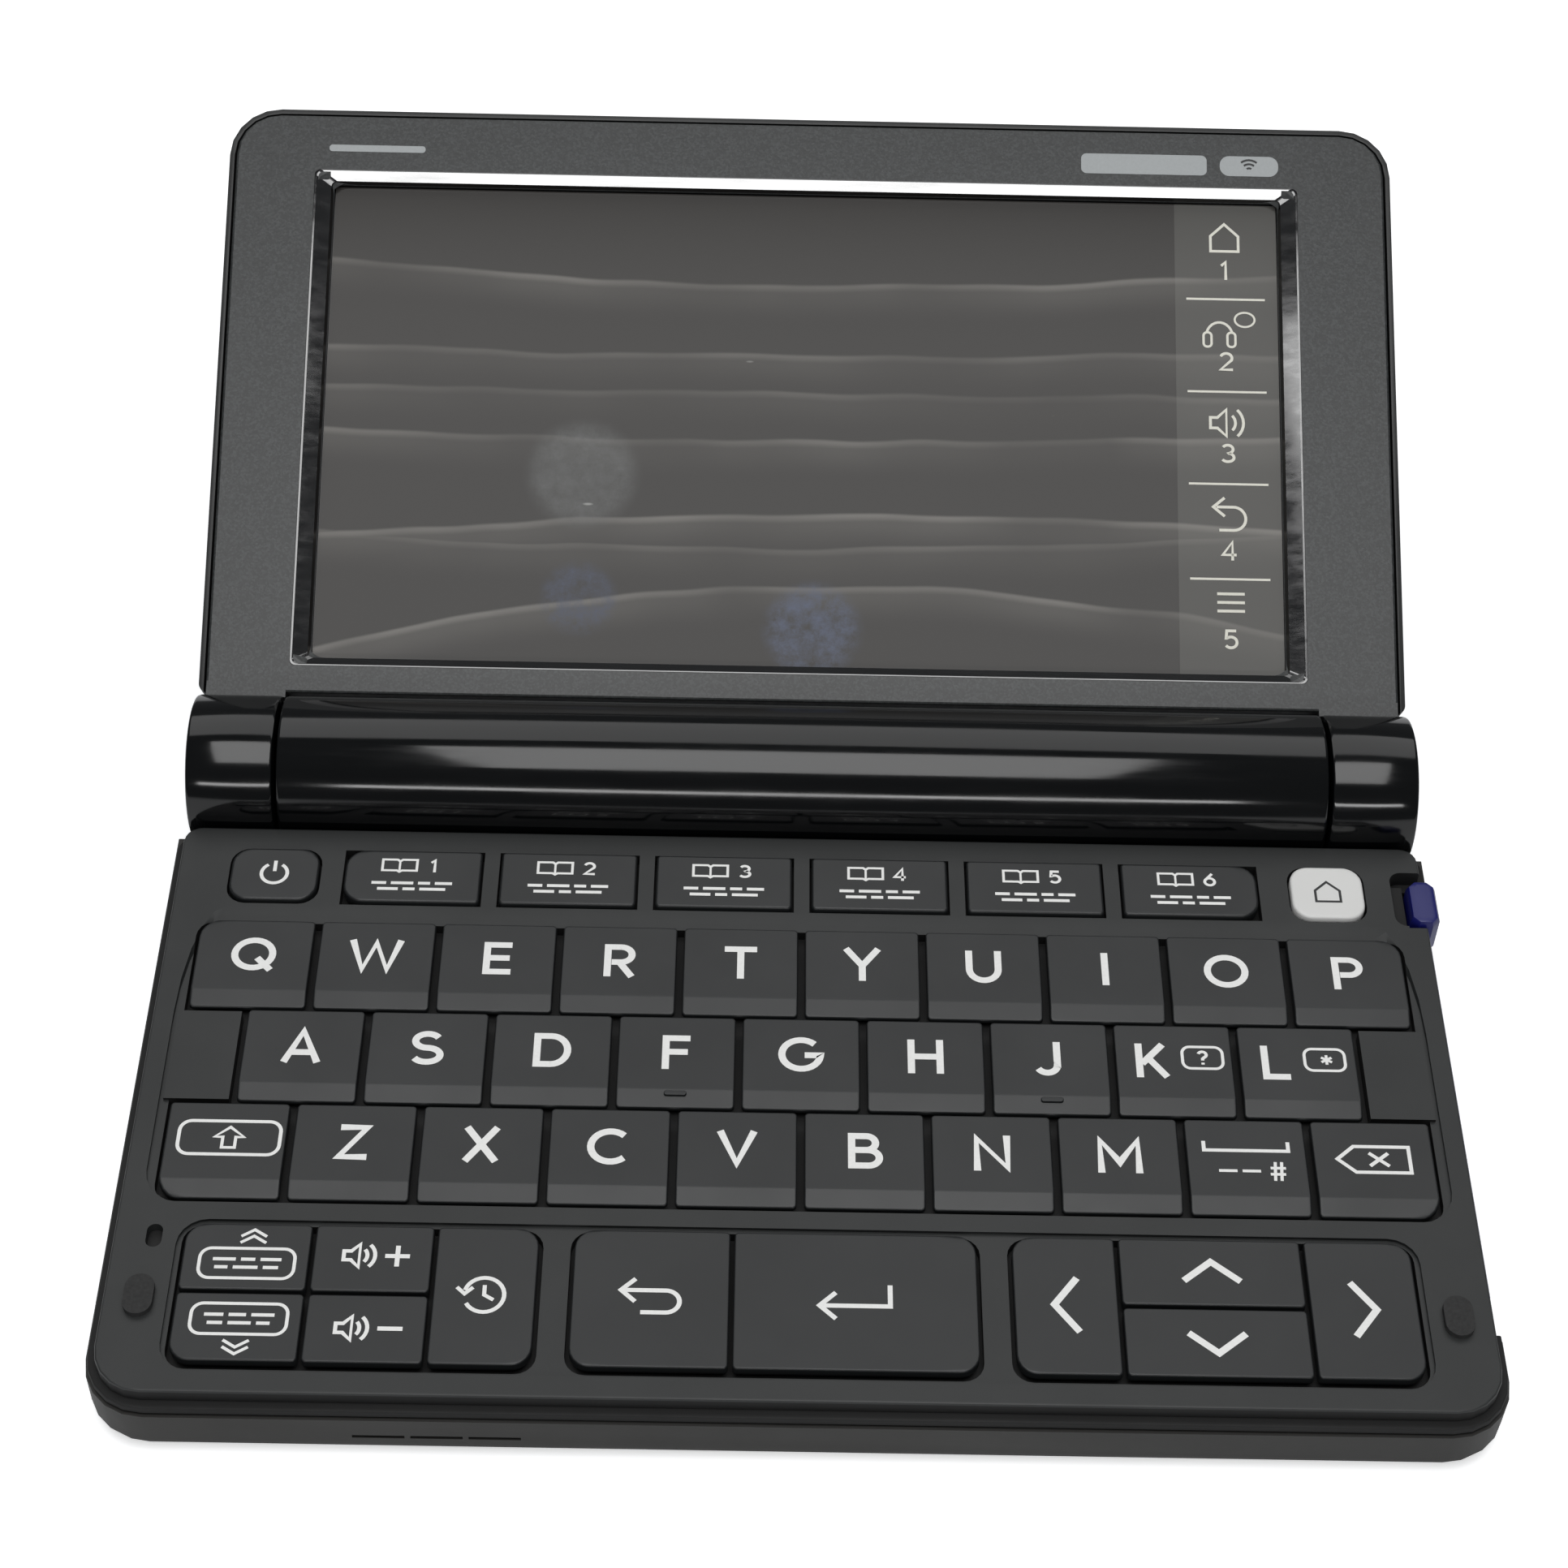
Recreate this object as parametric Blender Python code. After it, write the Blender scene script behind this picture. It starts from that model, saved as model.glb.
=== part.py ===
"""Electronic dictionary: a clamshell with a key deck, a battery barrel at the hinge and a touch screen.

Metres, +Z up, +X to the user's right. The underside is the plane z = 0 and the origin lies midway between
the front edge and the hinge axis. Base pieces are placed from the front edge, lid pieces from the hinge axis.
"""
import math

import bmesh
import bpy
from mathutils import Matrix, Vector

MM = 0.001

# Whole instrument
CASE_WIDTH = 148.0 * MM
FRONT_TO_HINGE = 87.2 * MM
DECK_HEIGHT = 9.2 * MM
LID_LEAN = math.radians(29.2)
HALF_WIDTH = CASE_WIDTH / 2

# Fits between pieces
FIT_GAP = 0.3 * MM
OVERRUN = 2.0 * MM
WELD = 0.6 * MM
TOUCH = 0.001 * MM

# Battery barrel, its door and the two cells
CELL_RADIUS = 7.25 * MM
CELL_CLEARANCE = 0.45 * MM
CELL_NUB_RADIUS = 2.75 * MM
CELL_NUB_LENGTH = 1.0 * MM
BARREL_WALL = 1.2 * MM
BARREL_EDGE = 0.4 * MM
BARREL_END = 9.0 * MM
BARREL_LIFT = 0.2 * MM
KNUCKLE_LENGTH = 10.2 * MM
KNUCKLE_GAP = 0.4 * MM
KNUCKLE_INSET = 1.4 * MM
SPRING_ROOM = 2.2 * MM
DOOR_LAND = 1.0 * MM
DOOR_LEDGE = 0.2 * MM
DOOR_TILT = math.radians(-60.0)
PIN_RADIUS = 2.5 * MM
PIN_LENGTH = 6.0 * MM
BORE_RADIUS = CELL_RADIUS + CELL_CLEARANCE
BARREL_RADIUS = BORE_RADIUS + BARREL_WALL
HINGE_HEIGHT = BARREL_RADIUS + BARREL_LIFT
KNUCKLE_OUTER = HALF_WIDTH - KNUCKLE_INSET
KNUCKLE_INNER = KNUCKLE_OUTER - KNUCKLE_LENGTH
BARREL_HALF_LENGTH = KNUCKLE_INNER - KNUCKLE_GAP
BORE_HALF_LENGTH = BARREL_HALF_LENGTH - BARREL_END
CELL_LENGTH = BORE_HALF_LENGTH - SPRING_ROOM - FIT_GAP
DOOR_HALF_LENGTH = BORE_HALF_LENGTH - DOOR_LAND
DOOR_HALF_WIDTH = BORE_RADIUS - DOOR_LEDGE

# Places of the deck and the case ahead of the barrel
DECK_SETBACK = 0.5 * MM
DECK_REAR = FRONT_TO_HINGE - BARREL_RADIUS - DECK_SETBACK
CASE_LIP = 2.7 * MM
CASE_REAR = DECK_REAR + CASE_LIP

# Bottom case
CASE_CORNER = 6.8 * MM
CASE_REAR_CORNER = 2.0 * MM
CASE_WALL = 1.5 * MM
CASE_FLOOR = 1.2 * MM
CASE_BOTTOM_ROUND = 1.8 * MM
DECK_ABOVE_PARTING = 3.0 * MM
PARTING_HEIGHT = DECK_HEIGHT - DECK_ABOVE_PARTING
PARTING_GROOVE = 0.3 * MM
CAVITY_REAR_WALL = 1.2 * MM
CAVITY_REAR = DECK_REAR - CAVITY_REAR_WALL
CAVITY_CORNER = 5.0 * MM
STYLUS_WALL = 5.0 * MM
CAVITY_RIGHT = HALF_WIDTH - STYLUS_WALL
CAVITY_LEFT = CASE_WALL - HALF_WIDTH
BOSS_RADIUS = 2.2 * MM
BOSS_X_SHARES = (0.1, 0.5, 0.9)
BOSS_Y_SHARES = (0.15, 0.85)
FOOT_RADIUS = 4.0 * MM
FOOT_DROP = 0.4 * MM
FOOT_INSET = 11.0 * MM
SLOT_COUNT = 3
SLOT_LENGTH = 5.4 * MM
SLOT_PITCH = 6.0 * MM
SLOT_HEIGHT = 0.5 * MM
SLOT_LEVEL = 3.1 * MM
SLOT_FIRST_INSET = 30.7 * MM
SLOT_FIRST_X = SLOT_FIRST_INSET - HALF_WIDTH

# Top case
FLANGE_INSET = 0.3 * MM
DECK_ABOVE_FLANGE = 1.8 * MM
FLANGE_TOP = DECK_HEIGHT - DECK_ABOVE_FLANGE
FLANGE_ROUND = 0.3 * MM
DECK_INSET = 1.3 * MM
DECK_CORNER = 5.3 * MM
DECK_ROUND = 0.3 * MM
WEB_THICKNESS = 1.0 * MM
TONGUE_WIDTH = 1.2 * MM
TONGUE_DROP = 1.3 * MM
CONTOUR_MARGIN = 2.35 * MM
CONTOUR_SIDE = 1.5 * MM
CONTOUR_CORNER = 4.0 * MM
CONTOUR_DEPTH = 0.4 * MM
CONTOUR_SLOPE = 1.5 * MM
CLUSTER_SHELF_MARGIN = 0.8 * MM
CLUSTER_SHELF_SIDE = 1.0 * MM
CLUSTER_SHELF_CORNER = 3.2 * MM
MIC_WIDTH = 1.7 * MM
MIC_LENGTH = 2.9 * MM
MIC_DEPTH = 1.2 * MM
MIC_INSET = 5.6 * MM
MIC_Y = 20.2 * MM
BUMPER_WIDTH = 3.1 * MM
BUMPER_LENGTH = 4.9 * MM
BUMPER_HEIGHT = 0.7 * MM
BUMPER_INSET = 5.1 * MM
BUMPER_Y = 12.5 * MM

# Keys: the dictionary row ends at the deck's rear, the clusters start at its front, letters fill the rest
KEY_RISE = 0.4 * MM
DICTIONARY_RISE = 0.5 * MM
CLUSTER_FRONT = 4.8 * MM
CLUSTER_DEPTH = 16.8 * MM
LETTERS_AFTER_CLUSTERS = 3.61 * MM
DICTIONARY_AFTER_LETTERS = 3.15 * MM
DICTIONARY_DEPTH = 7.8 * MM
DECK_BEHIND_KEYS = 3.5 * MM
DICTIONARY_FRONT = DECK_REAR - DECK_BEHIND_KEYS - DICTIONARY_DEPTH
LETTERS_FRONT = CLUSTER_FRONT + CLUSTER_DEPTH + LETTERS_AFTER_CLUSTERS
LETTER_REAR = DICTIONARY_FRONT - DICTIONARY_AFTER_LETTERS
LETTER_ROWS = 3
LETTER_COLUMNS = 10
ROW_GAP = 0.77 * MM
ROW_PITCH = (LETTER_REAR - LETTERS_FRONT + ROW_GAP) / LETTER_ROWS
LETTER_DEPTH = ROW_PITCH - ROW_GAP
LETTERS_MARGIN = 4.7 * MM
LETTER_GAP = 0.8 * MM
LETTER_PITCH = (CASE_WIDTH - 2 * LETTERS_MARGIN) / LETTER_COLUMNS
LETTERS_HALF = (LETTER_COLUMNS * LETTER_PITCH - LETTER_GAP) / 2
LETTER_TOP = DECK_HEIGHT + KEY_RISE
STRIP_DEPTH = 2.2 * MM
STRIP_DROP = 0.7 * MM
BLOCK_CORNER = 2.4 * MM
KEY_EDGE = 0.2 * MM
KEY_CORNER = 0.5 * MM
KEY_TRAVEL = 0.8 * MM
KEY_STOP_GAP = 0.2 * MM
STEM_SHARE = 0.55
WELL_REAR_GAP = 0.25 * MM
WELL_SIDE_GAP = 0.45 * MM
WELL_FRONT_GAP = 0.6 * MM
DICTIONARY_MARGIN = 19.61 * MM
DICTIONARY_RIB = 1.8 * MM
DICTIONARY_COUNT = 6
DICTIONARY_PITCH = (CASE_WIDTH - 2 * DICTIONARY_MARGIN) / DICTIONARY_COUNT
DICTIONARY_TOP = DECK_HEIGHT + DICTIONARY_RISE
DICTIONARY_CORNER = 2.4 * MM
POWER_WIDTH = 10.2 * MM
HOME_WIDTH = 8.5 * MM
END_KEY_INSET = 12.6 * MM
END_KEY_X = HALF_WIDTH - END_KEY_INSET
END_KEY_CORNER = 2.3 * MM
SLOPED_EDGE = 0.6 * MM
CLUSTER_TOP = DECK_HEIGHT + KEY_RISE
CLUSTER_SLIT = 0.45 * MM
CLUSTER_CORNER = 2.2 * MM
CLUSTER_LEFT_MARGIN = 9.0 * MM
CLUSTER_RIGHT_MARGIN = 9.2 * MM
CLUSTER_GAP = 3.775 * MM
NIB_WIDTH = 2.5 * MM
NIB_DEPTH = 0.6 * MM
NIB_HEIGHT = 0.1 * MM
NIB_SETBACK = 1.3 * MM

# Columns of each cluster of the front row: key names from rear to front, and the share of the row's key width
CLUSTER_WIDTH_SHARES = (
    ((("previous", "next"), 0.1108), (("volume_up", "volume_down"), 0.1038), (("history",), 0.0892)),
    ((("back",), 0.1371), (("enter",), 0.2133)),
    ((("left",), 0.0908), (("up", "down"), 0.1608), (("right",), 0.0942)),
)

# Contact board below the keys
BOARD_THICKNESS = 1.2 * MM

# Lid, measured from the hinge axis and along the lid's face normal
LID_FRONT_INSET = 1.0 * MM
LID_BARREL_GAP = 1.0 * MM
LID_SIDE_INSET = 0.7 * MM
LID_ABOVE_DECK = 0.9 * MM
LID_TOP = FRONT_TO_HINGE - LID_FRONT_INSET
LID_BOTTOM = BARREL_RADIUS + LID_BARREL_GAP
LID_RIM_HALF_WIDTH = HALF_WIDTH - LID_SIDE_INSET
LID_CORNER = 6.3 * MM
LID_BOTTOM_CORNER = 1.0 * MM
LID_BACK_ROUND = 2.2 * MM
LID_RIM_WIDTH = 0.6 * MM
LID_WALL = 1.3 * MM
FACE_LEVEL = HINGE_HEIGHT - DECK_HEIGHT - LID_ABOVE_DECK
RIM_DROP = 0.4 * MM
BEZEL_THICKNESS = 1.6 * MM
BEZEL_ROUND = 0.3 * MM
PANEL_THICKNESS = 0.8 * MM
MODULE_THICKNESS = 1.6 * MM
BACK_WALL = 1.2 * MM
WINDOW_LEFT_BORDER = 11.0 * MM
WINDOW_RIGHT_BORDER = 12.0 * MM
WINDOW_LOWER_BORDER = 3.5 * MM
WINDOW_UPPER_BORDER = 8.3 * MM
WINDOW_CORNER = 2.0 * MM
SCREEN_SIDE_SLOPE = 2.25 * MM
SCREEN_LOWER_SLOPE = 1.25 * MM
SCREEN_UPPER_SLOPE = 1.4 * MM
SCREEN_CORNER = 0.3 * MM
WINDOW_LIP = 0.2 * MM
PANEL_MARGIN = 2.0 * MM
ARM_INSET = 0.3 * MM
ARM_ROOT = 2.0 * MM
TAB_REACH = 0.6 * MM
WINDOW_LEFT = WINDOW_LEFT_BORDER - LID_RIM_HALF_WIDTH
WINDOW_RIGHT = LID_RIM_HALF_WIDTH - WINDOW_RIGHT_BORDER
WINDOW_BOTTOM = LID_BOTTOM + WINDOW_LOWER_BORDER
WINDOW_TOP = LID_TOP - WINDOW_UPPER_BORDER
SCREEN_LEFT = WINDOW_LEFT + SCREEN_SIDE_SLOPE
SCREEN_RIGHT = WINDOW_RIGHT - SCREEN_SIDE_SLOPE
SCREEN_BOTTOM = WINDOW_BOTTOM + SCREEN_LOWER_SLOPE
SCREEN_TOP = WINDOW_TOP - SCREEN_UPPER_SLOPE

# Stylus in its side channel
STYLUS_INSET = 1.9 * MM
STYLUS_BELOW_DECK = 3.2 * MM
STYLUS_RADIUS = 1.4 * MM
STYLUS_TIP_RADIUS = 0.5 * MM
STYLUS_TIP_LENGTH = 5.0 * MM
STYLUS_TIP_Y = 12.0 * MM
HEAD_BEFORE_DECK_REAR = 5.3 * MM
HEAD_LENGTH = 6.6 * MM
HEAD_WIDTH = 3.4 * MM
HEAD_PROUD = 0.2 * MM
HEAD_RISE = 0.7 * MM
HEAD_FACET = 0.9 * MM
NOTCH_INSET = 5.0 * MM
NOTCH_SLOT_WIDTH = 1.5 * MM
NOTCH_CORNER = 1.4 * MM
NOTCH_SHELF_DEPTH = 1.0 * MM
NOTCH_SLOT_DEPTH = 2.2 * MM
STYLUS_X = HALF_WIDTH - STYLUS_INSET
STYLUS_LEVEL = DECK_HEIGHT - STYLUS_BELOW_DECK
HEAD_REAR = DECK_REAR - HEAD_BEFORE_DECK_REAR
HEAD_FRONT = HEAD_REAR - HEAD_LENGTH
HEAD_OUTER_X = HALF_WIDTH + HEAD_PROUD
HEAD_INNER_X = HEAD_OUTER_X - HEAD_WIDTH
HEAD_TOP = DECK_HEIGHT + HEAD_RISE
HEAD_BOTTOM = STYLUS_LEVEL - STYLUS_RADIUS
NOTCH_INNER_X = HALF_WIDTH - NOTCH_INSET
NOTCH_REAR = HEAD_REAR + NOTCH_SLOT_WIDTH

ROUND_STEPS = 5
SMALL_STEPS = 2
BARREL_SEGMENTS = 56
CELL_SEGMENTS = 40
SMALL_SEGMENTS = 20
END_ROUND_SHARE = 0.49
SMOOTH_ANGLE = math.radians(35.0)

# Heights that follow from the sizes above
TOP_CASE_BASE = PARTING_HEIGHT + PARTING_GROOVE
WEB_TOP = TOP_CASE_BASE + WEB_THICKNESS
CAP_BASE = WEB_TOP + KEY_TRAVEL + KEY_STOP_GAP
STEM_LENGTH = CAP_BASE - TOP_CASE_BASE + KEY_TRAVEL + KEY_STOP_GAP
BOARD_TOP = CAP_BASE - STEM_LENGTH - KEY_TRAVEL - KEY_STOP_GAP
BOARD_BASE = BOARD_TOP - BOARD_THICKNESS
RIM_LEVEL = FACE_LEVEL - RIM_DROP
BEZEL_BACK = FACE_LEVEL - BEZEL_THICKNESS
PANEL_FRONT = BEZEL_BACK - FIT_GAP
PANEL_BACK = PANEL_FRONT - PANEL_THICKNESS
MODULE_FRONT = PANEL_BACK - FIT_GAP
MODULE_BACK = MODULE_FRONT - MODULE_THICKNESS
TRAY_FLOOR = MODULE_BACK - FIT_GAP
LID_BACK = TRAY_FLOOR - BACK_WALL

for old in list(bpy.data.objects):
    bpy.data.objects.remove(old, do_unlink=True)

PARTS = bpy.data.collections.new("electronic_dictionary")
CUTTERS = bpy.data.collections.new("cutters")
for group in (PARTS, CUTTERS):
    bpy.context.scene.collection.children.link(group)


def frame(name, location, lean=0):
    """Empty that carries a group of pieces, turned about X by lean."""
    holder = bpy.data.objects.new(name, None)
    holder.location = location
    holder.rotation_euler = (lean, 0, 0)
    PARTS.objects.link(holder)
    return holder


BASE = frame("base_frame", (0, -FRONT_TO_HINGE / 2, 0))
LID = frame("lid_frame", (0, FRONT_TO_HINGE / 2, HINGE_HEIGHT), LID_LEAN)
AXLE = frame("barrel_frame", (0, FRONT_TO_HINGE / 2, HINGE_HEIGHT))
DOOR = frame("door_frame", (0, FRONT_TO_HINGE / 2, HINGE_HEIGHT), DOOR_TILT)


def plastic(name, colour, roughness, metallic=0.0):
    """Principled material with one colour."""
    material = bpy.data.materials.new(name)
    material.use_nodes = True
    shader = material.node_tree.nodes["Principled BSDF"]
    shader.inputs["Base Color"].default_value = (*colour, 1.0)
    shader.inputs["Roughness"].default_value = roughness
    shader.inputs["Metallic"].default_value = metallic
    return material


DECK_PLASTIC = plastic("deck_plastic", (0.026, 0.028, 0.029), 0.55)
CASE_PLASTIC = plastic("case_plastic", (0.045, 0.044, 0.042), 0.6)
KEY_PLASTIC = plastic("key_plastic", (0.024, 0.026, 0.027), 0.5)
HOME_PLASTIC = plastic("home_key_plastic", (0.72, 0.73, 0.73), 0.5)
GLOSS_PLASTIC = plastic("gloss_plastic", (0.004, 0.004, 0.005), 0.08)
BEZEL_PLASTIC = plastic("bezel_plastic", (0.06, 0.064, 0.064), 0.5)
SCREEN_GLASS = plastic("screen_glass", (0.03, 0.026, 0.025), 0.12)
MODULE_METAL = plastic("module_metal", (0.35, 0.35, 0.35), 0.4, 0.9)
BOARD_RESIN = plastic("board_resin", (0.02, 0.12, 0.05), 0.5)
CELL_METAL = plastic("cell_metal", (0.5, 0.5, 0.52), 0.3, 0.9)
STYLUS_PLASTIC = plastic("stylus_plastic", (0.01, 0.013, 0.13), 0.35)


def part(name, mesh, holder, material, location=(0, 0, 0)):
    """Put a mesh in the scene as one piece of the instrument."""
    piece = bpy.data.objects.new(name, mesh)
    piece.location = location
    piece.parent = holder
    if not mesh.materials:
        mesh.materials.append(material)
    PARTS.objects.link(piece)
    return piece


def tool(name, mesh, holder):
    """Put a mesh in the scene as a cutter or an addition that only modifiers read."""
    piece = bpy.data.objects.new(name, mesh)
    piece.parent = holder
    piece.hide_render = True
    piece.display_type = "WIRE"
    CUTTERS.objects.link(piece)
    return piece


def combine(piece, operation, other):
    """Boolean modifier on piece with other as its operand."""
    modifier = piece.modifiers.new(other.name, "BOOLEAN")
    modifier.operation = operation
    modifier.object = other
    modifier.solver = "EXACT"


def finish(bm, name):
    """Mesh datablock from a bmesh."""
    mesh = bpy.data.meshes.new(name)
    bm.to_mesh(mesh)
    bm.free()
    return mesh


def box_into(bm, low, high):
    """Add a box between two corners and return its vertices."""
    verts = bmesh.ops.create_cube(bm, size=1)["verts"]
    for vert in verts:
        vert.co = Vector([low[i] if vert.co[i] < 0 else high[i] for i in range(3)])
    return verts


def upright_edges(verts):
    """Edges from the lower to the upper rim of a box: front left, front right, rear right, rear left."""
    level = sum(vert.co.z for vert in verts) / len(verts)
    lower = [vert for vert in verts if vert.co.z < level]
    middle = sum((vert.co for vert in lower), Vector()) / len(lower)
    found = {}
    for vert in lower:
        edge = next(edge for edge in vert.link_edges if edge.other_vert(vert).co.z > level)
        found[(vert.co.x > middle.x, vert.co.y > middle.y)] = edge
    return [found[key] for key in ((False, False), (True, False), (True, True), (False, True))]


def round_edges(bm, edges, radius, steps):
    """Bevel edges with a round of the given radius."""
    bmesh.ops.bevel(bm, geom=edges, offset=radius, offset_type="OFFSET", segments=steps, profile=0.5,
                    affect="EDGES", clamp_overlap=True)


def level_edges(bm, level):
    """Edges that lie in the horizontal plane at a level."""
    return [edge for edge in bm.edges if all(abs(vert.co.z - level) < TOUCH for vert in edge.verts)]


def block(name, low, high, corners=(0, 0, 0, 0), top=0, bottom=0, steps=ROUND_STEPS):
    """Box with plan corner radii (front left, front right, rear right, rear left) and rounded rims."""
    bm = bmesh.new()
    edges = upright_edges(box_into(bm, low, high))
    for edge, radius in zip(edges, corners):
        if radius > 0:
            round_edges(bm, [edge], radius, steps)
    if top > 0:
        round_edges(bm, level_edges(bm, high[2]), top, SMALL_STEPS)
    if bottom > 0:
        round_edges(bm, level_edges(bm, low[2]), bottom, SMALL_STEPS)
    return finish(bm, name)


def boxes(name, spans):
    """Several separate boxes in one mesh."""
    bm = bmesh.new()
    for low, high in spans:
        box_into(bm, low, high)
    return finish(bm, name)


def taper(name, low_rect, high_rect, low_level, high_level, radius):
    """Block whose plan grows from one rectangle (x0, y0, x1, y1) to another."""
    bm = bmesh.new()
    verts = box_into(bm, (*low_rect[:2], low_level), (*low_rect[2:], high_level))
    middle_x = (low_rect[0] + low_rect[2]) / 2
    middle_y = (low_rect[1] + low_rect[3]) / 2
    for vert in verts:
        if abs(vert.co.z - high_level) < TOUCH:
            vert.co.x = high_rect[0] if vert.co.x < middle_x else high_rect[2]
            vert.co.y = high_rect[1] if vert.co.y < middle_y else high_rect[3]
    round_edges(bm, upright_edges(verts), radius, ROUND_STEPS)
    return finish(bm, name)


def rod_into(bm, radius, start, end, segments, end_radius=None):
    """Add a cylinder or cone between two points."""
    start = Vector(start)
    end = Vector(end)
    turn = (end - start).to_track_quat("Z", "Y").to_matrix().to_4x4()
    matrix = Matrix.Translation((start + end) / 2) @ turn
    last = radius if end_radius is None else end_radius
    bmesh.ops.create_cone(bm, cap_ends=True, segments=segments, radius1=radius, radius2=last,
                          depth=(end - start).length, matrix=matrix)


def rod(name, radius, start, end, segments=BARREL_SEGMENTS, edge=0):
    """Cylinder between two points along X, with rounded ends."""
    bm = bmesh.new()
    rod_into(bm, radius, start, end, segments)
    if edge > 0:
        rims = [line for line in bm.edges if abs(line.verts[0].co.x - line.verts[1].co.x) < TOUCH]
        round_edges(bm, rims, edge, SMALL_STEPS)
    return finish(bm, name)


def smooth_round(piece):
    """Smooth shading on the round faces of a piece."""
    piece.data.shade_smooth()
    piece.data.set_sharp_from_angle(angle=SMOOTH_ANGLE)


def key_mesh(name, width, depth, corners, height, edge, strip=False):
    """Key cap on its guide stem, with the origin at the centre of the cap's underside."""
    bm = bmesh.new()
    half_x = width / 2
    half_y = depth / 2
    stem_x = half_x * STEM_SHARE
    stem_y = half_y * STEM_SHARE
    box_into(bm, (-stem_x, -stem_y, -STEM_LENGTH), (stem_x, stem_y, 0))
    crown = max(bm.faces, key=lambda face: face.calc_center_median().z)
    for scale_x, scale_y, rise in ((half_x / stem_x, half_y / stem_y, 0), (1, 1, height)):
        grown = bmesh.ops.extrude_discrete_faces(bm, faces=[crown])["faces"][0]
        for vert in grown.verts:
            vert.co = Vector((vert.co.x * scale_x, vert.co.y * scale_y, vert.co.z + rise))
        crown = grown
    cap = list(crown.verts)
    below = [edge_line.other_vert(vert) for vert in cap for edge_line in vert.link_edges
             if edge_line.other_vert(vert) not in cap]
    edges = upright_edges(cap + below)
    for line, radius in zip(edges, corners):
        round_edges(bm, [line], radius, ROUND_STEPS if radius > KEY_CORNER else 1)
    if strip:
        ridge = STRIP_DEPTH - half_y
        bmesh.ops.bisect_plane(bm, geom=bm.verts[:] + bm.edges[:] + bm.faces[:], dist=TOUCH,
                               plane_co=(0, ridge, 0), plane_no=(0, 1, 0))
        for vert in bm.verts:
            if vert.co.z > height - TOUCH and vert.co.y < ridge - TOUCH:
                vert.co.z -= STRIP_DROP * (ridge - vert.co.y) / STRIP_DEPTH
    else:
        round_edges(bm, level_edges(bm, height), edge, 1)
    return finish(bm, name)


def key_plan():
    """Name, centre x, centre y, width, depth, corner radii, top height and kind of every key."""
    small = KEY_CORNER
    plan = []
    rows = ("qwertyuiop", "asdfghjkl", ("shift", *"zxcvbnm", "symbols", "delete"))
    width = LETTER_PITCH - LETTER_GAP
    for row, letters in enumerate(rows):
        centre_y = LETTER_REAR - row * ROW_PITCH - LETTER_DEPTH / 2
        for column, letter in enumerate(letters):
            centre_x = (column - (len(letters) - 1) / 2) * LETTER_PITCH
            corners = [small] * 4
            if letter == "q":
                corners[3] = BLOCK_CORNER
            if letter == "p":
                corners[2] = BLOCK_CORNER
            if letter == "shift":
                corners[0] = BLOCK_CORNER
            if letter == "delete":
                corners[1] = BLOCK_CORNER
            plan.append((letter, centre_x, centre_y, width, LETTER_DEPTH, tuple(corners), LETTER_TOP, "letter"))
    centre_y = DICTIONARY_FRONT + DICTIONARY_DEPTH / 2
    width = DICTIONARY_PITCH - DICTIONARY_RIB - 2 * WELL_REAR_GAP
    for column in range(DICTIONARY_COUNT):
        centre_x = (column - (DICTIONARY_COUNT - 1) / 2) * DICTIONARY_PITCH
        left = DICTIONARY_CORNER if column == 0 else small
        right = DICTIONARY_CORNER if column == DICTIONARY_COUNT - 1 else small
        plan.append((f"dictionary_{column + 1}", centre_x, centre_y, width, DICTIONARY_DEPTH,
                     (left, right, right, left), DICTIONARY_TOP, "sloped"))
    for name, centre_x, width in (("power", -END_KEY_X, POWER_WIDTH), ("home", END_KEY_X, HOME_WIDTH)):
        plan.append((name, centre_x, centre_y, width, DICTIONARY_DEPTH, (END_KEY_CORNER,) * 4,
                     DICTIONARY_TOP, "sloped"))
    for left, right, columns in cluster_plan():
        plan.extend(cluster_keys(left, columns))
    return plan


def cluster_plan():
    """Left edge, right edge and columns of each cluster; a column is its key names and its width."""
    slits = sum(len(columns) - 1 for columns in CLUSTER_WIDTH_SHARES)
    gaps = len(CLUSTER_WIDTH_SHARES) - 1
    key_width = (CASE_WIDTH - CLUSTER_LEFT_MARGIN - CLUSTER_RIGHT_MARGIN - gaps * CLUSTER_GAP
                 - slits * CLUSTER_SLIT)
    clusters = []
    left = CLUSTER_LEFT_MARGIN - HALF_WIDTH
    for columns in CLUSTER_WIDTH_SHARES:
        sized = [(names, share * key_width) for names, share in columns]
        right = left + sum(width for names, width in sized) + (len(sized) - 1) * CLUSTER_SLIT
        clusters.append((left, right, sized))
        left = right + CLUSTER_GAP
    return clusters


def cluster_keys(left, columns):
    """Keys of one cluster; its outer corners are rounded."""
    keys = []
    edge_x = left
    for index, (names, width) in enumerate(columns):
        depth = (CLUSTER_DEPTH - (len(names) - 1) * CLUSTER_SLIT) / len(names)
        for place, name in enumerate(names):
            rear = CLUSTER_FRONT + CLUSTER_DEPTH - place * (depth + CLUSTER_SLIT)
            corners = [KEY_CORNER] * 4
            if index == 0 and place == 0:
                corners[3] = CLUSTER_CORNER
            if index == 0 and place == len(names) - 1:
                corners[0] = CLUSTER_CORNER
            if index == len(columns) - 1 and place == 0:
                corners[2] = CLUSTER_CORNER
            if index == len(columns) - 1 and place == len(names) - 1:
                corners[1] = CLUSTER_CORNER
            keys.append((name, edge_x + width / 2, rear - depth / 2, width, depth, tuple(corners),
                         CLUSTER_TOP, "flat"))
        edge_x += width + CLUSTER_SLIT
    return keys


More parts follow.
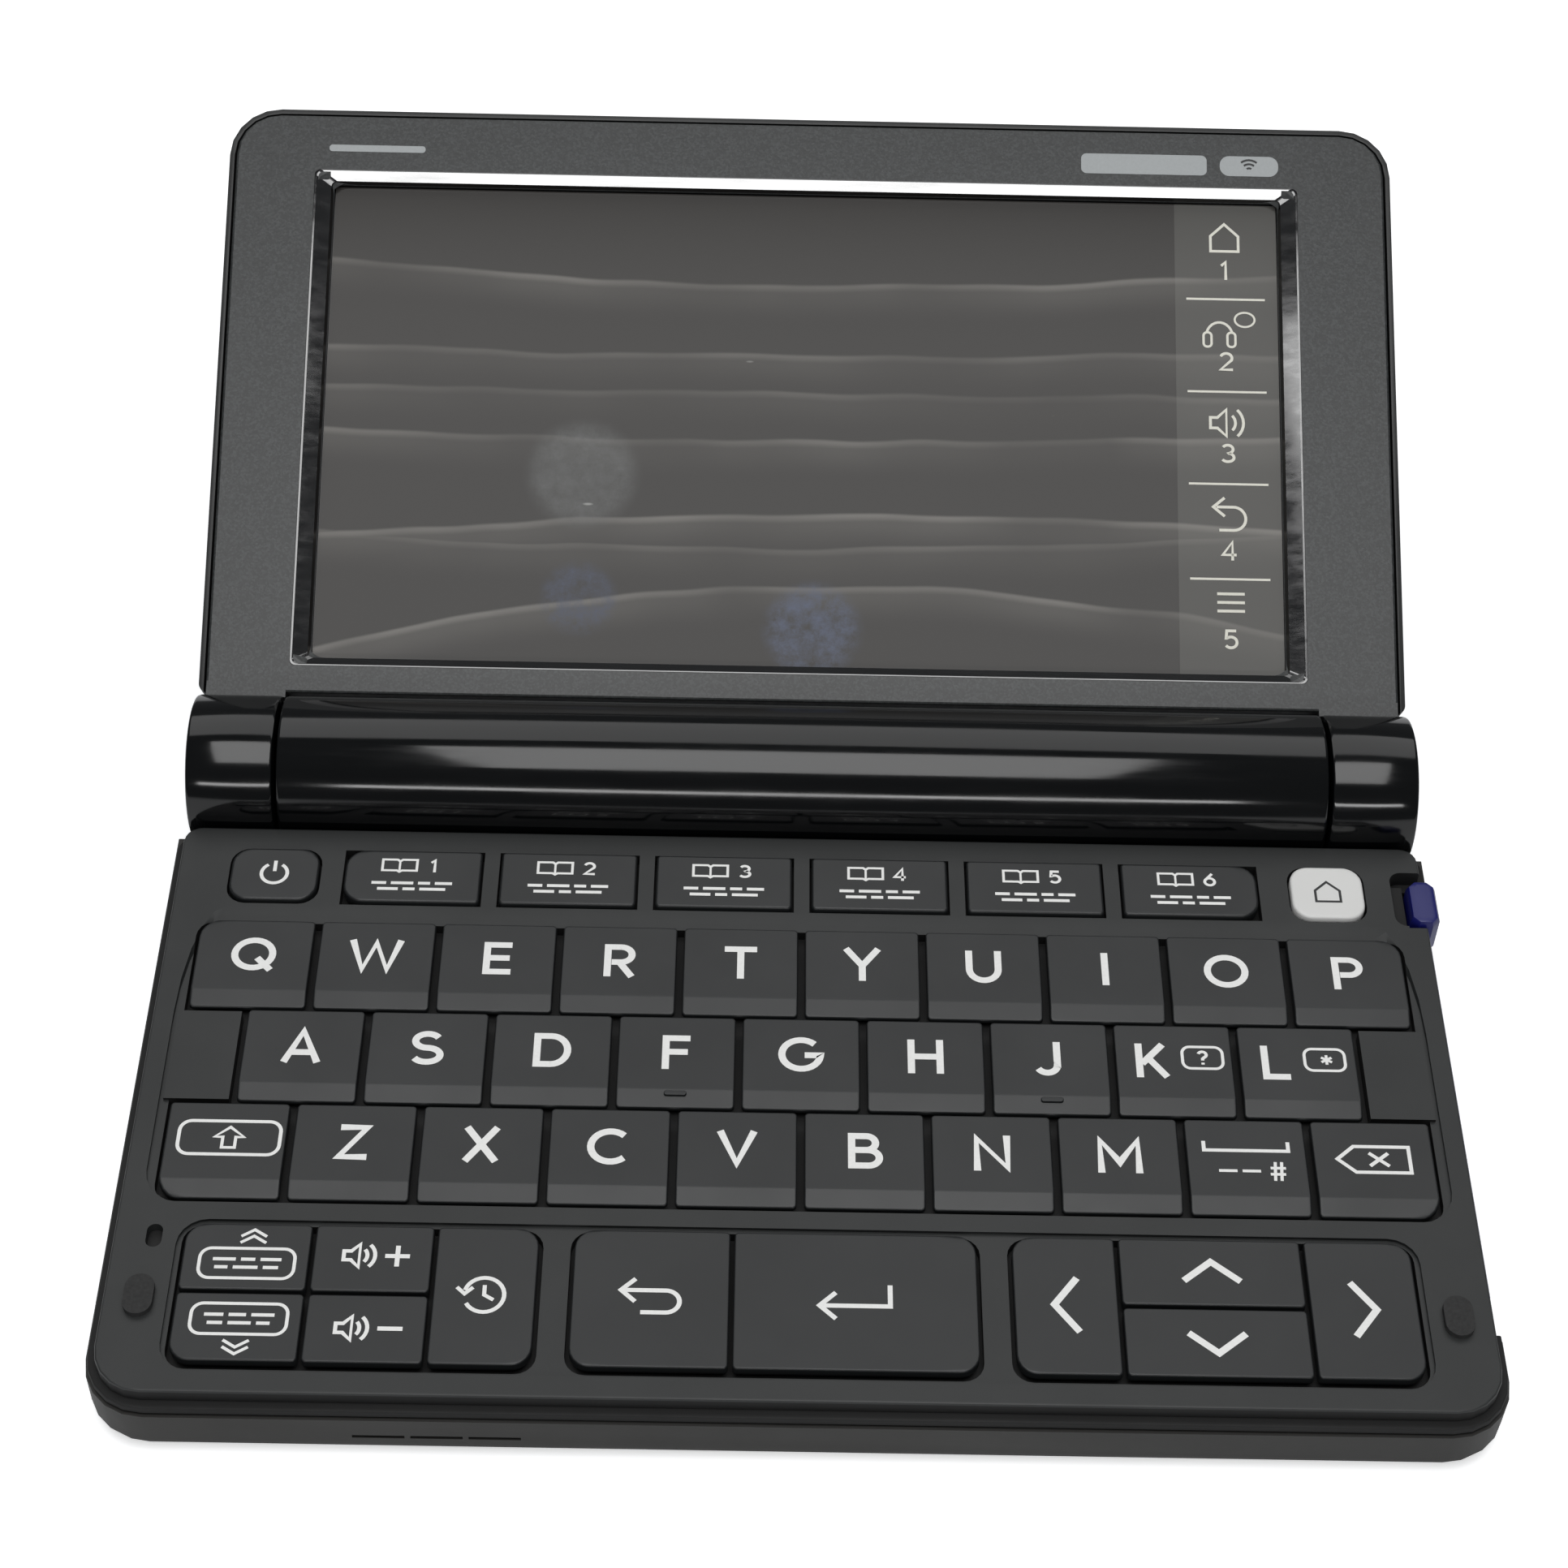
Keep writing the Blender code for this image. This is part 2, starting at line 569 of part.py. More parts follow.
def make_keys(plan):
    """One sprung key per entry; equal keys share a mesh."""
    meshes = {}
    edges = {"letter": KEY_EDGE, "sloped": SLOPED_EDGE, "flat": KEY_EDGE}
    for name, centre_x, centre_y, width, depth, corners, top, kind in plan:
        material = HOME_PLASTIC if name == "home" else KEY_PLASTIC
        shape = (width, depth, corners, top, kind, material.name)
        if shape not in meshes:
            meshes[shape] = key_mesh(f"{kind}_key_{len(meshes)}", width, depth, corners, top - CAP_BASE,
                                     edges[kind], kind == "letter")
        key = part(f"key_{name}", meshes[shape], BASE, material, (centre_x, centre_y, CAP_BASE))
        if name in ("f", "j"):
            front = centre_y - depth / 2 + NIB_SETBACK
            combine(key, "UNION", tool(f"nib_{name}", boxes(f"nib_{name}", [
                ((centre_x - NIB_WIDTH / 2, front, top - NIB_DEPTH),
                 (centre_x + NIB_WIDTH / 2, front + NIB_DEPTH, top + NIB_HEIGHT))]), BASE))


def well_spans():
    """Low and high corners of the plain wells: one per dictionary key."""
    spans = []
    for column in range(DICTIONARY_COUNT):
        centre_x = (column - (DICTIONARY_COUNT - 1) / 2) * DICTIONARY_PITCH
        reach = (DICTIONARY_PITCH - DICTIONARY_RIB) / 2
        spans.append(((centre_x - reach, DICTIONARY_FRONT - WELL_REAR_GAP, WEB_TOP),
                      (centre_x + reach, DICTIONARY_FRONT + DICTIONARY_DEPTH + WELL_REAR_GAP,
                       DECK_HEIGHT + OVERRUN)))
    return spans


def rounded_well(name, left, right, front, rear, radius):
    """Well from the web to above the deck with rounded plan corners."""
    return tool(name, block(name, (left, front, WEB_TOP), (right, rear, DECK_HEIGHT + OVERRUN), (radius,) * 4),
                BASE)


def cut_wells(case):
    """Wells for the letter block, the dictionary row, the end keys and the front clusters."""
    reach = LETTERS_HALF + WELL_SIDE_GAP
    combine(case, "DIFFERENCE", rounded_well("letter_well", -reach, reach, LETTERS_FRONT - WELL_FRONT_GAP,
                                             LETTER_REAR + WELL_REAR_GAP, BLOCK_CORNER))
    combine(case, "DIFFERENCE", tool("dictionary_wells", boxes("dictionary_wells", well_spans()), BASE))
    for name, centre_x, width in (("power_well", -END_KEY_X, POWER_WIDTH), ("home_well", END_KEY_X, HOME_WIDTH)):
        reach = width / 2 + WELL_REAR_GAP
        combine(case, "DIFFERENCE", rounded_well(name, centre_x - reach, centre_x + reach,
                                                 DICTIONARY_FRONT - WELL_REAR_GAP,
                                                 DICTIONARY_FRONT + DICTIONARY_DEPTH + WELL_REAR_GAP,
                                                 END_KEY_CORNER))
    for index, (left, right, columns) in enumerate(cluster_plan()):
        combine(case, "DIFFERENCE", rounded_well(f"cluster_well_{index + 1}", left - WELL_SIDE_GAP,
                                                 right + WELL_SIDE_GAP, CLUSTER_FRONT - WELL_FRONT_GAP,
                                                 CLUSTER_FRONT + CLUSTER_DEPTH + WELL_REAR_GAP, CLUSTER_CORNER))


def stem_spans(plan):
    """Low and high corners of the guide holes in the web."""
    spans = []
    for name, centre_x, centre_y, width, depth, corners, top, kind in plan:
        reach_x = width / 2 * STEM_SHARE + FIT_GAP
        reach_y = depth / 2 * STEM_SHARE + FIT_GAP
        spans.append(((centre_x - reach_x, centre_y - reach_y, TOP_CASE_BASE - OVERRUN),
                      (centre_x + reach_x, centre_y + reach_y, WEB_TOP + FIT_GAP)))
    return spans


def filler_spans():
    """Low and high corners of the blank plates at both ends of the middle letter row."""
    rear = LETTER_REAR - ROW_PITCH
    inner = (LETTER_COLUMNS - 1) * LETTER_PITCH / 2 + LETTER_GAP / 2
    outer = LETTERS_HALF + WELL_SIDE_GAP + WELD
    spans = []
    for low_x, high_x in ((-outer, -inner), (inner, outer)):
        spans.append(((low_x, rear - LETTER_DEPTH, WEB_TOP - WELD), (high_x, rear, DECK_HEIGHT)))
    return spans


def cut_stylus_bay(case):
    """Open side channel for the stylus, the bay for its head and the finger notch beside it."""
    out = HALF_WIDTH + OVERRUN
    reach = STYLUS_RADIUS + FIT_GAP
    spans = {
        "channel": ((STYLUS_X - reach, STYLUS_TIP_Y - FIT_GAP, STYLUS_LEVEL - reach),
                    (out, HEAD_FRONT, STYLUS_LEVEL + reach)),
        "head_bay": ((HEAD_INNER_X - FIT_GAP, HEAD_FRONT - FIT_GAP, HEAD_BOTTOM - FIT_GAP),
                     (out, HEAD_REAR + FIT_GAP, DECK_HEIGHT + OVERRUN)),
    }
    for name, (low, high) in spans.items():
        combine(case, "DIFFERENCE", tool(f"{case.name}_{name}", boxes(name, [(low, high)]), BASE))


def make_bottom_case():
    """Tray with a rounded bottom edge, bosses, feet, front slots and a cradle for the barrel."""
    case = part("bottom_case", block("bottom_case", (-HALF_WIDTH, 0, 0), (HALF_WIDTH, CASE_REAR, PARTING_HEIGHT),
                                     (CASE_CORNER, CASE_CORNER, CASE_REAR_CORNER, CASE_REAR_CORNER),
                                     bottom=CASE_BOTTOM_ROUND), BASE, CASE_PLASTIC)
    combine(case, "DIFFERENCE", tool("case_cavity", block(
        "case_cavity", (CAVITY_LEFT, CASE_WALL, CASE_FLOOR), (CAVITY_RIGHT, CAVITY_REAR, PARTING_HEIGHT + OVERRUN),
        (CAVITY_CORNER,) * 4), BASE))
    cut_barrel_cradle(case)
    cut_stylus_bay(case)
    slots = []
    for index in range(SLOT_COUNT):
        centre_x = SLOT_FIRST_X + index * SLOT_PITCH
        slots.append(((centre_x - SLOT_LENGTH / 2, -OVERRUN, SLOT_LEVEL - SLOT_HEIGHT / 2),
                      (centre_x + SLOT_LENGTH / 2, CASE_WALL + OVERRUN, SLOT_LEVEL + SLOT_HEIGHT / 2)))
    combine(case, "DIFFERENCE", tool("front_slots", boxes("front_slots", slots), BASE))
    combine(case, "UNION", tool("bosses", boss_mesh(), BASE))
    foot_x = HALF_WIDTH - FOOT_INSET
    combine(case, "UNION", tool("front_feet", feet("front_feet", foot_x, FOOT_INSET, -FOOT_DROP,
                                                   CASE_FLOOR - WELD), BASE))
    return case


def boss_mesh():
    """Six pillars that the contact board rests on."""
    bm = bmesh.new()
    for share_x in BOSS_X_SHARES:
        for share_y in BOSS_Y_SHARES:
            x = CAVITY_LEFT + share_x * (CAVITY_RIGHT - CAVITY_LEFT)
            y = CASE_WALL + share_y * (CAVITY_REAR - CASE_WALL)
            rod_into(bm, BOSS_RADIUS, (x, y, CASE_FLOOR - WELD), (x, y, BOARD_BASE - FIT_GAP), SMALL_SEGMENTS)
    return finish(bm, "bosses")


def feet(name, x, y, low, high):
    """Pair of round feet, left and right."""
    bm = bmesh.new()
    for side in (-1, 1):
        rod_into(bm, FOOT_RADIUS, (side * x, y, low), (side * x, y, high), SMALL_SEGMENTS)
    return finish(bm, name)


def cut_barrel_cradle(case):
    """Round clearance that the case leaves for the barrel."""
    start = (-HALF_WIDTH - OVERRUN, 0, 0)
    end = (HALF_WIDTH + OVERRUN, 0, 0)
    name = f"{case.name}_cradle"
    combine(case, "DIFFERENCE", tool(name, rod(name, BARREL_RADIUS + FIT_GAP, start, end), AXLE))


def make_top_case(plan):
    """Deck with its flange, tongue, wells, guide web, filler plates and bumpers."""
    flange_half = HALF_WIDTH - FLANGE_INSET
    flange_corner = CASE_CORNER - FLANGE_INSET
    case = part("top_case", block("top_case", (-flange_half, FLANGE_INSET, TOP_CASE_BASE),
                                  (flange_half, DECK_REAR, FLANGE_TOP),
                                  (flange_corner, flange_corner, CASE_REAR_CORNER, CASE_REAR_CORNER),
                                  top=FLANGE_ROUND), BASE, DECK_PLASTIC)
    deck_half = HALF_WIDTH - DECK_INSET
    combine(case, "UNION", tool("deck_plate", block(
        "deck_plate", (-deck_half, DECK_INSET, FLANGE_TOP - WELD), (deck_half, DECK_REAR, DECK_HEIGHT),
        (DECK_CORNER, DECK_CORNER, CASE_REAR_CORNER, CASE_REAR_CORNER), top=DECK_ROUND), BASE))
    tongue = tool("tongue", block("tongue", (CAVITY_LEFT + FIT_GAP, CASE_WALL + FIT_GAP, PARTING_HEIGHT - TONGUE_DROP),
                                  (CAVITY_RIGHT - FIT_GAP, CAVITY_REAR - FIT_GAP, TOP_CASE_BASE + WELD),
                                  (CAVITY_CORNER,) * 4), BASE)
    inner = FIT_GAP + TONGUE_WIDTH
    combine(tongue, "DIFFERENCE", tool("tongue_inside", block(
        "tongue_inside", (CAVITY_LEFT + inner, CASE_WALL + inner, PARTING_HEIGHT - TONGUE_DROP - OVERRUN),
        (CAVITY_RIGHT - inner, CAVITY_REAR - inner, TOP_CASE_BASE), (CAVITY_CORNER - TONGUE_WIDTH,) * 4), BASE))
    combine(case, "UNION", tongue)
    cut_contours(case)
    cut_wells(case)
    combine(case, "UNION", tool("filler_plates", boxes("filler_plates", filler_spans()), BASE))
    combine(case, "DIFFERENCE", tool("guide_holes", boxes("guide_holes", stem_spans(plan)), BASE))
    cut_stylus_bay(case)
    cut_notch(case)
    for side in (-1, 1):
        bumper = f"bumper_{'left' if side < 0 else 'right'}"
        bumper_x = side * (HALF_WIDTH - BUMPER_INSET)
        combine(case, "UNION", tool(bumper, oblong(bumper, bumper_x, BUMPER_Y, BUMPER_WIDTH, BUMPER_LENGTH,
                                                   DECK_HEIGHT - WELD, DECK_HEIGHT + BUMPER_HEIGHT), BASE))
    mic_x = MIC_INSET - HALF_WIDTH
    combine(case, "DIFFERENCE", tool("mic_slot", oblong("mic_slot", mic_x, MIC_Y, MIC_WIDTH, MIC_LENGTH,
                                                        DECK_HEIGHT - MIC_DEPTH, DECK_HEIGHT + OVERRUN), BASE))
    cut_barrel_cradle(case)
    return case


def oblong(name, x, y, width, length, low, high):
    """Upright block with fully rounded ends."""
    return block(name, (x - width / 2, y - length / 2, low), (x + width / 2, y + length / 2, high),
                 (width * END_ROUND_SHARE,) * 4)


def cut_contours(case):
    """Sloped shallow step round the letter block and the shelf that the front clusters lie in."""
    half = LETTERS_HALF + CONTOUR_SIDE
    front = LETTERS_FRONT - WELL_FRONT_GAP
    rear = LETTER_REAR + CONTOUR_MARGIN
    floor = DECK_HEIGHT - CONTOUR_DEPTH
    rise = CONTOUR_SLOPE * (1 + OVERRUN / CONTOUR_DEPTH)
    combine(case, "DIFFERENCE", tool("letter_contour", taper(
        "letter_contour", (-half, front, half, rear - CONTOUR_SLOPE),
        (-half, front, half, rear - CONTOUR_SLOPE + rise), floor, DECK_HEIGHT + OVERRUN, CONTOUR_CORNER), BASE))
    left = CLUSTER_LEFT_MARGIN - HALF_WIDTH - CLUSTER_SHELF_SIDE
    right = HALF_WIDTH - CLUSTER_RIGHT_MARGIN + CLUSTER_SHELF_SIDE
    combine(case, "DIFFERENCE", tool("cluster_shelf", block(
        "cluster_shelf", (left, CLUSTER_FRONT - CLUSTER_SHELF_SIDE, floor),
        (right, CLUSTER_FRONT + CLUSTER_DEPTH + CLUSTER_SHELF_MARGIN, DECK_HEIGHT + OVERRUN),
        (CLUSTER_SHELF_CORNER,) * 4), BASE))


def cut_notch(case):
    """Finger notch beside the stylus head: a shelf, with a deeper slot behind it."""
    out = HALF_WIDTH + OVERRUN
    combine(case, "DIFFERENCE", tool("notch_shelf", block(
        "notch_shelf", (NOTCH_INNER_X, HEAD_FRONT, DECK_HEIGHT - NOTCH_SHELF_DEPTH),
        (out, HEAD_REAR + FIT_GAP, DECK_HEIGHT + OVERRUN), (NOTCH_CORNER, 0, 0, 0)), BASE))
    combine(case, "DIFFERENCE", tool("notch_slot", block(
        "notch_slot", (NOTCH_INNER_X, HEAD_REAR, DECK_HEIGHT - NOTCH_SLOT_DEPTH),
        (out, NOTCH_REAR, DECK_HEIGHT + OVERRUN), (0, 0, 0, NOTCH_CORNER)), BASE))


def make_contact_board():
    """Board with the key contacts, on the bosses below the web."""
    edge = 2 * FIT_GAP
    part("contact_board", block("contact_board", (CAVITY_LEFT + edge, CASE_WALL + edge, BOARD_BASE),
                                (CAVITY_RIGHT - edge, CAVITY_REAR - edge, BOARD_TOP), (CAVITY_CORNER,) * 4),
         BASE, BOARD_RESIN)


def make_barrel():
    """Battery barrel between the end knuckles: a pin and a foot at each end and an opening for the door."""
    half = BARREL_HALF_LENGTH
    barrel = part("battery_barrel", rod("battery_barrel", BARREL_RADIUS, (-half, 0, 0), (half, 0, 0),
                                        edge=BARREL_EDGE), AXLE, GLOSS_PLASTIC)
    reach = half + PIN_LENGTH
    combine(barrel, "UNION", tool("hinge_pins", rod("hinge_pins", PIN_RADIUS, (-reach, 0, 0), (reach, 0, 0),
                                                    SMALL_SEGMENTS), AXLE))
    bore = BORE_HALF_LENGTH
    combine(barrel, "DIFFERENCE", tool("battery_bore", rod(
        "battery_bore", BORE_RADIUS, (-bore, 0, 0), (bore, 0, 0)), AXLE))
    combine(barrel, "DIFFERENCE", tool("door_opening", boxes("door_opening", [
        ((-DOOR_HALF_LENGTH, 0, -DOOR_HALF_WIDTH),
         (DOOR_HALF_LENGTH, BARREL_RADIUS + OVERRUN, DOOR_HALF_WIDTH))]), DOOR))
    combine(barrel, "UNION", tool("rear_feet", feet("rear_feet", (bore + half) / 2, 0, -HINGE_HEIGHT - FOOT_DROP,
                                                    -BARREL_RADIUS / 2), AXLE))
    smooth_round(barrel)


def make_door():
    """Curved battery door that fills the opening in the barrel."""
    half = DOOR_HALF_LENGTH - FIT_GAP
    wide = DOOR_HALF_WIDTH - FIT_GAP
    door = part("battery_door", rod("battery_door", BARREL_RADIUS, (-half, 0, 0), (half, 0, 0)), DOOR, GLOSS_PLASTIC)
    combine(door, "INTERSECT", tool("door_plan", boxes("door_plan", [
        ((-half - OVERRUN, 0, -wide), (half + OVERRUN, BARREL_RADIUS + OVERRUN, wide))]), DOOR))
    combine(door, "DIFFERENCE", tool("door_inside", rod(
        "door_inside", BORE_RADIUS, (-half - OVERRUN, 0, 0), (half + OVERRUN, 0, 0)), DOOR))
    smooth_round(door)


def make_cells():
    """Two cells end to end in the barrel."""
    for side, name in ((-1, "battery_cell_left"), (1, "battery_cell_right")):
        start = FIT_GAP if side > 0 else -FIT_GAP - CELL_LENGTH
        body = CELL_LENGTH - CELL_NUB_LENGTH
        cell = part(name, rod(name, CELL_RADIUS, (start, 0, 0), (start + body, 0, 0), CELL_SEGMENTS,
                              BARREL_EDGE), AXLE, CELL_METAL)
        combine(cell, "UNION", tool(f"{name}_nub", rod(f"{name}_nub", CELL_NUB_RADIUS, (start + body / 2, 0, 0),
                                                       (start + CELL_LENGTH, 0, 0), SMALL_SEGMENTS), AXLE))
        smooth_round(cell)


def make_back_cover():
    """Lid tray with its two hinge knuckles."""
    half = LID_RIM_HALF_WIDTH
    cover = part("lid_back_cover", block("lid_back_cover", (-half, LID_BOTTOM, LID_BACK), (half, LID_TOP, RIM_LEVEL),
                                         (LID_BOTTOM_CORNER, LID_BOTTOM_CORNER, LID_CORNER, LID_CORNER),
                                         bottom=LID_BACK_ROUND), LID, CASE_PLASTIC)
    for side, name in ((-1, "left"), (1, "right")):
        inner = side * KNUCKLE_INNER
        outer = side * KNUCKLE_OUTER
        combine(cover, "UNION", tool(f"knuckle_{name}", rod(f"knuckle_{name}", BARREL_RADIUS, (inner, 0, 0),
                                                            (outer, 0, 0), edge=BARREL_EDGE), LID))
        near, far = sorted((inner + side * ARM_INSET, outer - side * ARM_INSET))
        combine(cover, "UNION", tool(f"arm_{name}", boxes(f"arm_{name}", [
            ((near, ARM_ROOT, LID_BACK + FIT_GAP), (far, LID_BOTTOM + WELD, BEZEL_BACK - WELD))]), LID))
        combine(cover, "DIFFERENCE", tool(f"pin_bore_{name}", rod(
            f"pin_bore_{name}", PIN_RADIUS + FIT_GAP, (inner - side * OVERRUN, 0, 0),
            (side * (BARREL_HALF_LENGTH + PIN_LENGTH + FIT_GAP), 0, 0), SMALL_SEGMENTS), LID))
    rebate = half - LID_RIM_WIDTH
    combine(cover, "DIFFERENCE", tool("bezel_rebate", block(
        "bezel_rebate", (-rebate, LID_BOTTOM - OVERRUN, BEZEL_BACK - FIT_GAP),
        (rebate, LID_TOP - LID_RIM_WIDTH, RIM_LEVEL + OVERRUN),
        (0, 0, LID_CORNER - LID_RIM_WIDTH, LID_CORNER - LID_RIM_WIDTH)), LID))
    cavity = half - LID_WALL
    combine(cover, "DIFFERENCE", tool("lid_cavity", block(
        "lid_cavity", (-cavity, LID_BOTTOM + LID_WALL, TRAY_FLOOR), (cavity, LID_TOP - LID_WALL, RIM_LEVEL + OVERRUN),
        (LID_BOTTOM_CORNER, LID_BOTTOM_CORNER, LID_CORNER - LID_WALL, LID_CORNER - LID_WALL)), LID))
    smooth_round(cover)


def make_bezel():
    """Lid frame with the sloped window and the tabs that reach the knuckles."""
    half = LID_RIM_HALF_WIDTH - LID_RIM_WIDTH - FIT_GAP
    top_corner = LID_CORNER - LID_RIM_WIDTH - FIT_GAP
    bezel = part("lid_bezel", block("lid_bezel", (-half, LID_BOTTOM, BEZEL_BACK),
                                    (half, LID_TOP - LID_RIM_WIDTH - FIT_GAP, FACE_LEVEL),
                                    (LID_BOTTOM_CORNER, LID_BOTTOM_CORNER, top_corner, top_corner),
                                    top=BEZEL_ROUND), LID, BEZEL_PLASTIC)
    tabs = []
    for side in (-1, 1):
        low_x, high_x = sorted((side * (KNUCKLE_INNER + ARM_INSET), side * (KNUCKLE_OUTER - ARM_INSET)))
        tabs.append(((low_x, LID_BOTTOM - TAB_REACH, BEZEL_BACK), (high_x, LID_BOTTOM + LID_WALL, FACE_LEVEL)))
    combine(bezel, "UNION", tool("bezel_tabs", boxes("bezel_tabs", tabs), LID))
    screen = (SCREEN_LEFT, SCREEN_BOTTOM, SCREEN_RIGHT, SCREEN_TOP)
    window = (WINDOW_LEFT, WINDOW_BOTTOM, WINDOW_RIGHT, WINDOW_TOP)
    slope_base = BEZEL_BACK + WINDOW_LIP
    growth = 1 + FIT_GAP / (FACE_LEVEL - slope_base)
    grown = [inner + (outer - inner) * growth for inner, outer in zip(screen, window)]
    combine(bezel, "DIFFERENCE", tool("window_slope", taper("window_slope", screen, grown, slope_base,
                                                            FACE_LEVEL + FIT_GAP, WINDOW_CORNER), LID))
    combine(bezel, "DIFFERENCE", tool("window_lip", block(
        "window_lip", (screen[0], screen[1], BEZEL_BACK - OVERRUN), (screen[2], screen[3], slope_base + FIT_GAP),
        (SCREEN_CORNER,) * 4), LID))


def make_screen():
    """Touch panel behind the window, with the display module behind it."""
    low = (SCREEN_LEFT - PANEL_MARGIN, SCREEN_BOTTOM - PANEL_MARGIN)
    high = (SCREEN_RIGHT + PANEL_MARGIN, SCREEN_TOP + PANEL_MARGIN)
    part("touch_panel", block("touch_panel", (*low, PANEL_BACK), (*high, PANEL_FRONT), (SCREEN_CORNER,) * 4,
                              steps=1), LID, SCREEN_GLASS)
    part("display_module", block("display_module", (*low, MODULE_BACK), (*high, MODULE_FRONT),
                                 (SCREEN_CORNER,) * 4, steps=1), LID, MODULE_METAL)


def make_stylus():
    """Slim pen with a faceted head, in the channel on the right side."""
    bm = bmesh.new()
    rod_into(bm, STYLUS_RADIUS, (0, HEAD_FRONT + WELD - HEAD_REAR, 0),
             (0, STYLUS_TIP_Y + STYLUS_TIP_LENGTH - HEAD_REAR, 0), SMALL_SEGMENTS)
    stylus = part("stylus", finish(bm, "stylus"), BASE, STYLUS_PLASTIC, (STYLUS_X, HEAD_REAR, STYLUS_LEVEL))
    bm = bmesh.new()
    rod_into(bm, STYLUS_RADIUS, (STYLUS_X, STYLUS_TIP_Y + STYLUS_TIP_LENGTH + WELD, STYLUS_LEVEL),
             (STYLUS_X, STYLUS_TIP_Y, STYLUS_LEVEL), SMALL_SEGMENTS, STYLUS_TIP_RADIUS)
    combine(stylus, "UNION", tool("stylus_tip", finish(bm, "stylus_tip"), BASE))
    head = block("stylus_head", (HEAD_INNER_X, HEAD_FRONT, HEAD_BOTTOM), (HEAD_OUTER_X, HEAD_REAR, HEAD_TOP),
                 (HEAD_FACET,) * 4, top=HEAD_FACET, steps=1)
    combine(stylus, "UNION", tool("stylus_head", head, BASE))
    smooth_round(stylus)


KEYS = key_plan()
make_bottom_case()
make_top_case(KEYS)
make_contact_board()
make_keys(KEYS)
make_barrel()
make_door()
make_cells()
make_back_cover()
make_bezel()
make_screen()
make_stylus()
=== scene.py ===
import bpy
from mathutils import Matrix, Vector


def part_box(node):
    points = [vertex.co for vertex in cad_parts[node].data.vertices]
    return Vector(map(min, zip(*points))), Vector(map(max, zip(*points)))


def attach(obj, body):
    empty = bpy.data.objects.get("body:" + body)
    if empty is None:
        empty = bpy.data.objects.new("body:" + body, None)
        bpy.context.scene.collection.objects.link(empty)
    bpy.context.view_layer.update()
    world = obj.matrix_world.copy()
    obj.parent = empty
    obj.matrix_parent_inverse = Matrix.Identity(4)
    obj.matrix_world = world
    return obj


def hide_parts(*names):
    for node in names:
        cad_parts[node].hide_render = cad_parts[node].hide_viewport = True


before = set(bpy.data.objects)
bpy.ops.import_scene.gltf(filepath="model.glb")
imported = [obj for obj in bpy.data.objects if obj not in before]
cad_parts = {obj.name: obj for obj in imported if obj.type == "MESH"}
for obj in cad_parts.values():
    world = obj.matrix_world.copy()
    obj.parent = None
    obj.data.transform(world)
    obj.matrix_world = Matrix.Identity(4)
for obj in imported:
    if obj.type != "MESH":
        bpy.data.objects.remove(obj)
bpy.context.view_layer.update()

import math

import bmesh
import bpy
import numpy as np
from mathutils import Vector

MM = 0.001

# The view: a phone camera held over the front edge, a little left of the middle, looking down at about
# 48 degrees, as found from the outline of the case, the barrel and the lid.
camera_data = bpy.data.cameras.new("phone_camera")
camera_data.sensor_fit = "HORIZONTAL"
camera_data.sensor_width = 36.0
camera_data.lens = 72.82
camera_data.clip_start = 0.01
camera_data.clip_end = 20.0
camera = bpy.data.objects.new("phone_camera", camera_data)
camera.location = (-0.006066, -0.213135, 0.2912)
camera.rotation_euler = [math.radians(angle) for angle in (42.209, -1.142, 0.387)]
bpy.context.scene.collection.objects.link(camera)
bpy.context.scene.camera = camera
bpy.context.scene.view_settings.view_transform = "Standard"

# The light: a softbox overhead that the barrel and the key strips reflect, a wide soft wall behind that gives
# the flat plastic its sheen, and a slim low window in front that the slope over the screen reflects.


def linear(colour):
    """sRGB hex colour as linear RGBA: divided by 12.92 below 0.04045, else ((c + 0.055) / 1.055) ^ 2.4."""
    channels = np.array([int(colour[place:place + 2], 16) for place in (1, 3, 5)]) / 255
    curve = np.where(channels <= 0.04045, channels / 12.92, ((channels + 0.055) / 1.055) ** 2.4)
    return (*(float(channel) for channel in curve), 1.0)


def add_node(tree, kind, links=(), values=(), **settings):
    """One shader node with its settings, linked inputs and plain values, each given as (input, value)."""
    made = tree.nodes.new(kind)
    for name, value in settings.items():
        setattr(made, name, value)
    for place, value in values:
        made.inputs[place].default_value = value
    for place, source in links:
        tree.links.new(source, made.inputs[place])
    return made


world = bpy.data.worlds.new("pale_room")
bpy.context.scene.world = world
world.use_nodes = True
room = world.node_tree
room.nodes.clear()
rays = add_node(room, "ShaderNodeLightPath")
air = add_node(room, "ShaderNodeBackground", values=[("Color", linear("#e6eaee")), ("Strength", 0.13)])
paper = add_node(room, "ShaderNodeBackground", values=[("Color", linear("#ffffff")), ("Strength", 1.0)])
seen = add_node(room, "ShaderNodeMixShader", links=[(0, rays.outputs["Is Camera Ray"]), (1, air.outputs[0]),
                                                    (2, paper.outputs[0])])
add_node(room, "ShaderNodeOutputWorld", links=[("Surface", seen.outputs[0])])


def softbox(name, place, aim, width, height, watts):
    """Rectangular area lamp at a place, turned so that it faces a point."""
    lamp_data = bpy.data.lights.new(name, "AREA")
    lamp_data.shape = "RECTANGLE"
    lamp_data.size = width
    lamp_data.size_y = height
    lamp_data.energy = watts
    lamp = bpy.data.objects.new(name, lamp_data)
    lamp.location = place
    lamp.rotation_euler = (Vector(place) - Vector(aim)).to_track_quat("Z", "Y").to_euler()
    bpy.context.scene.collection.objects.link(lamp)


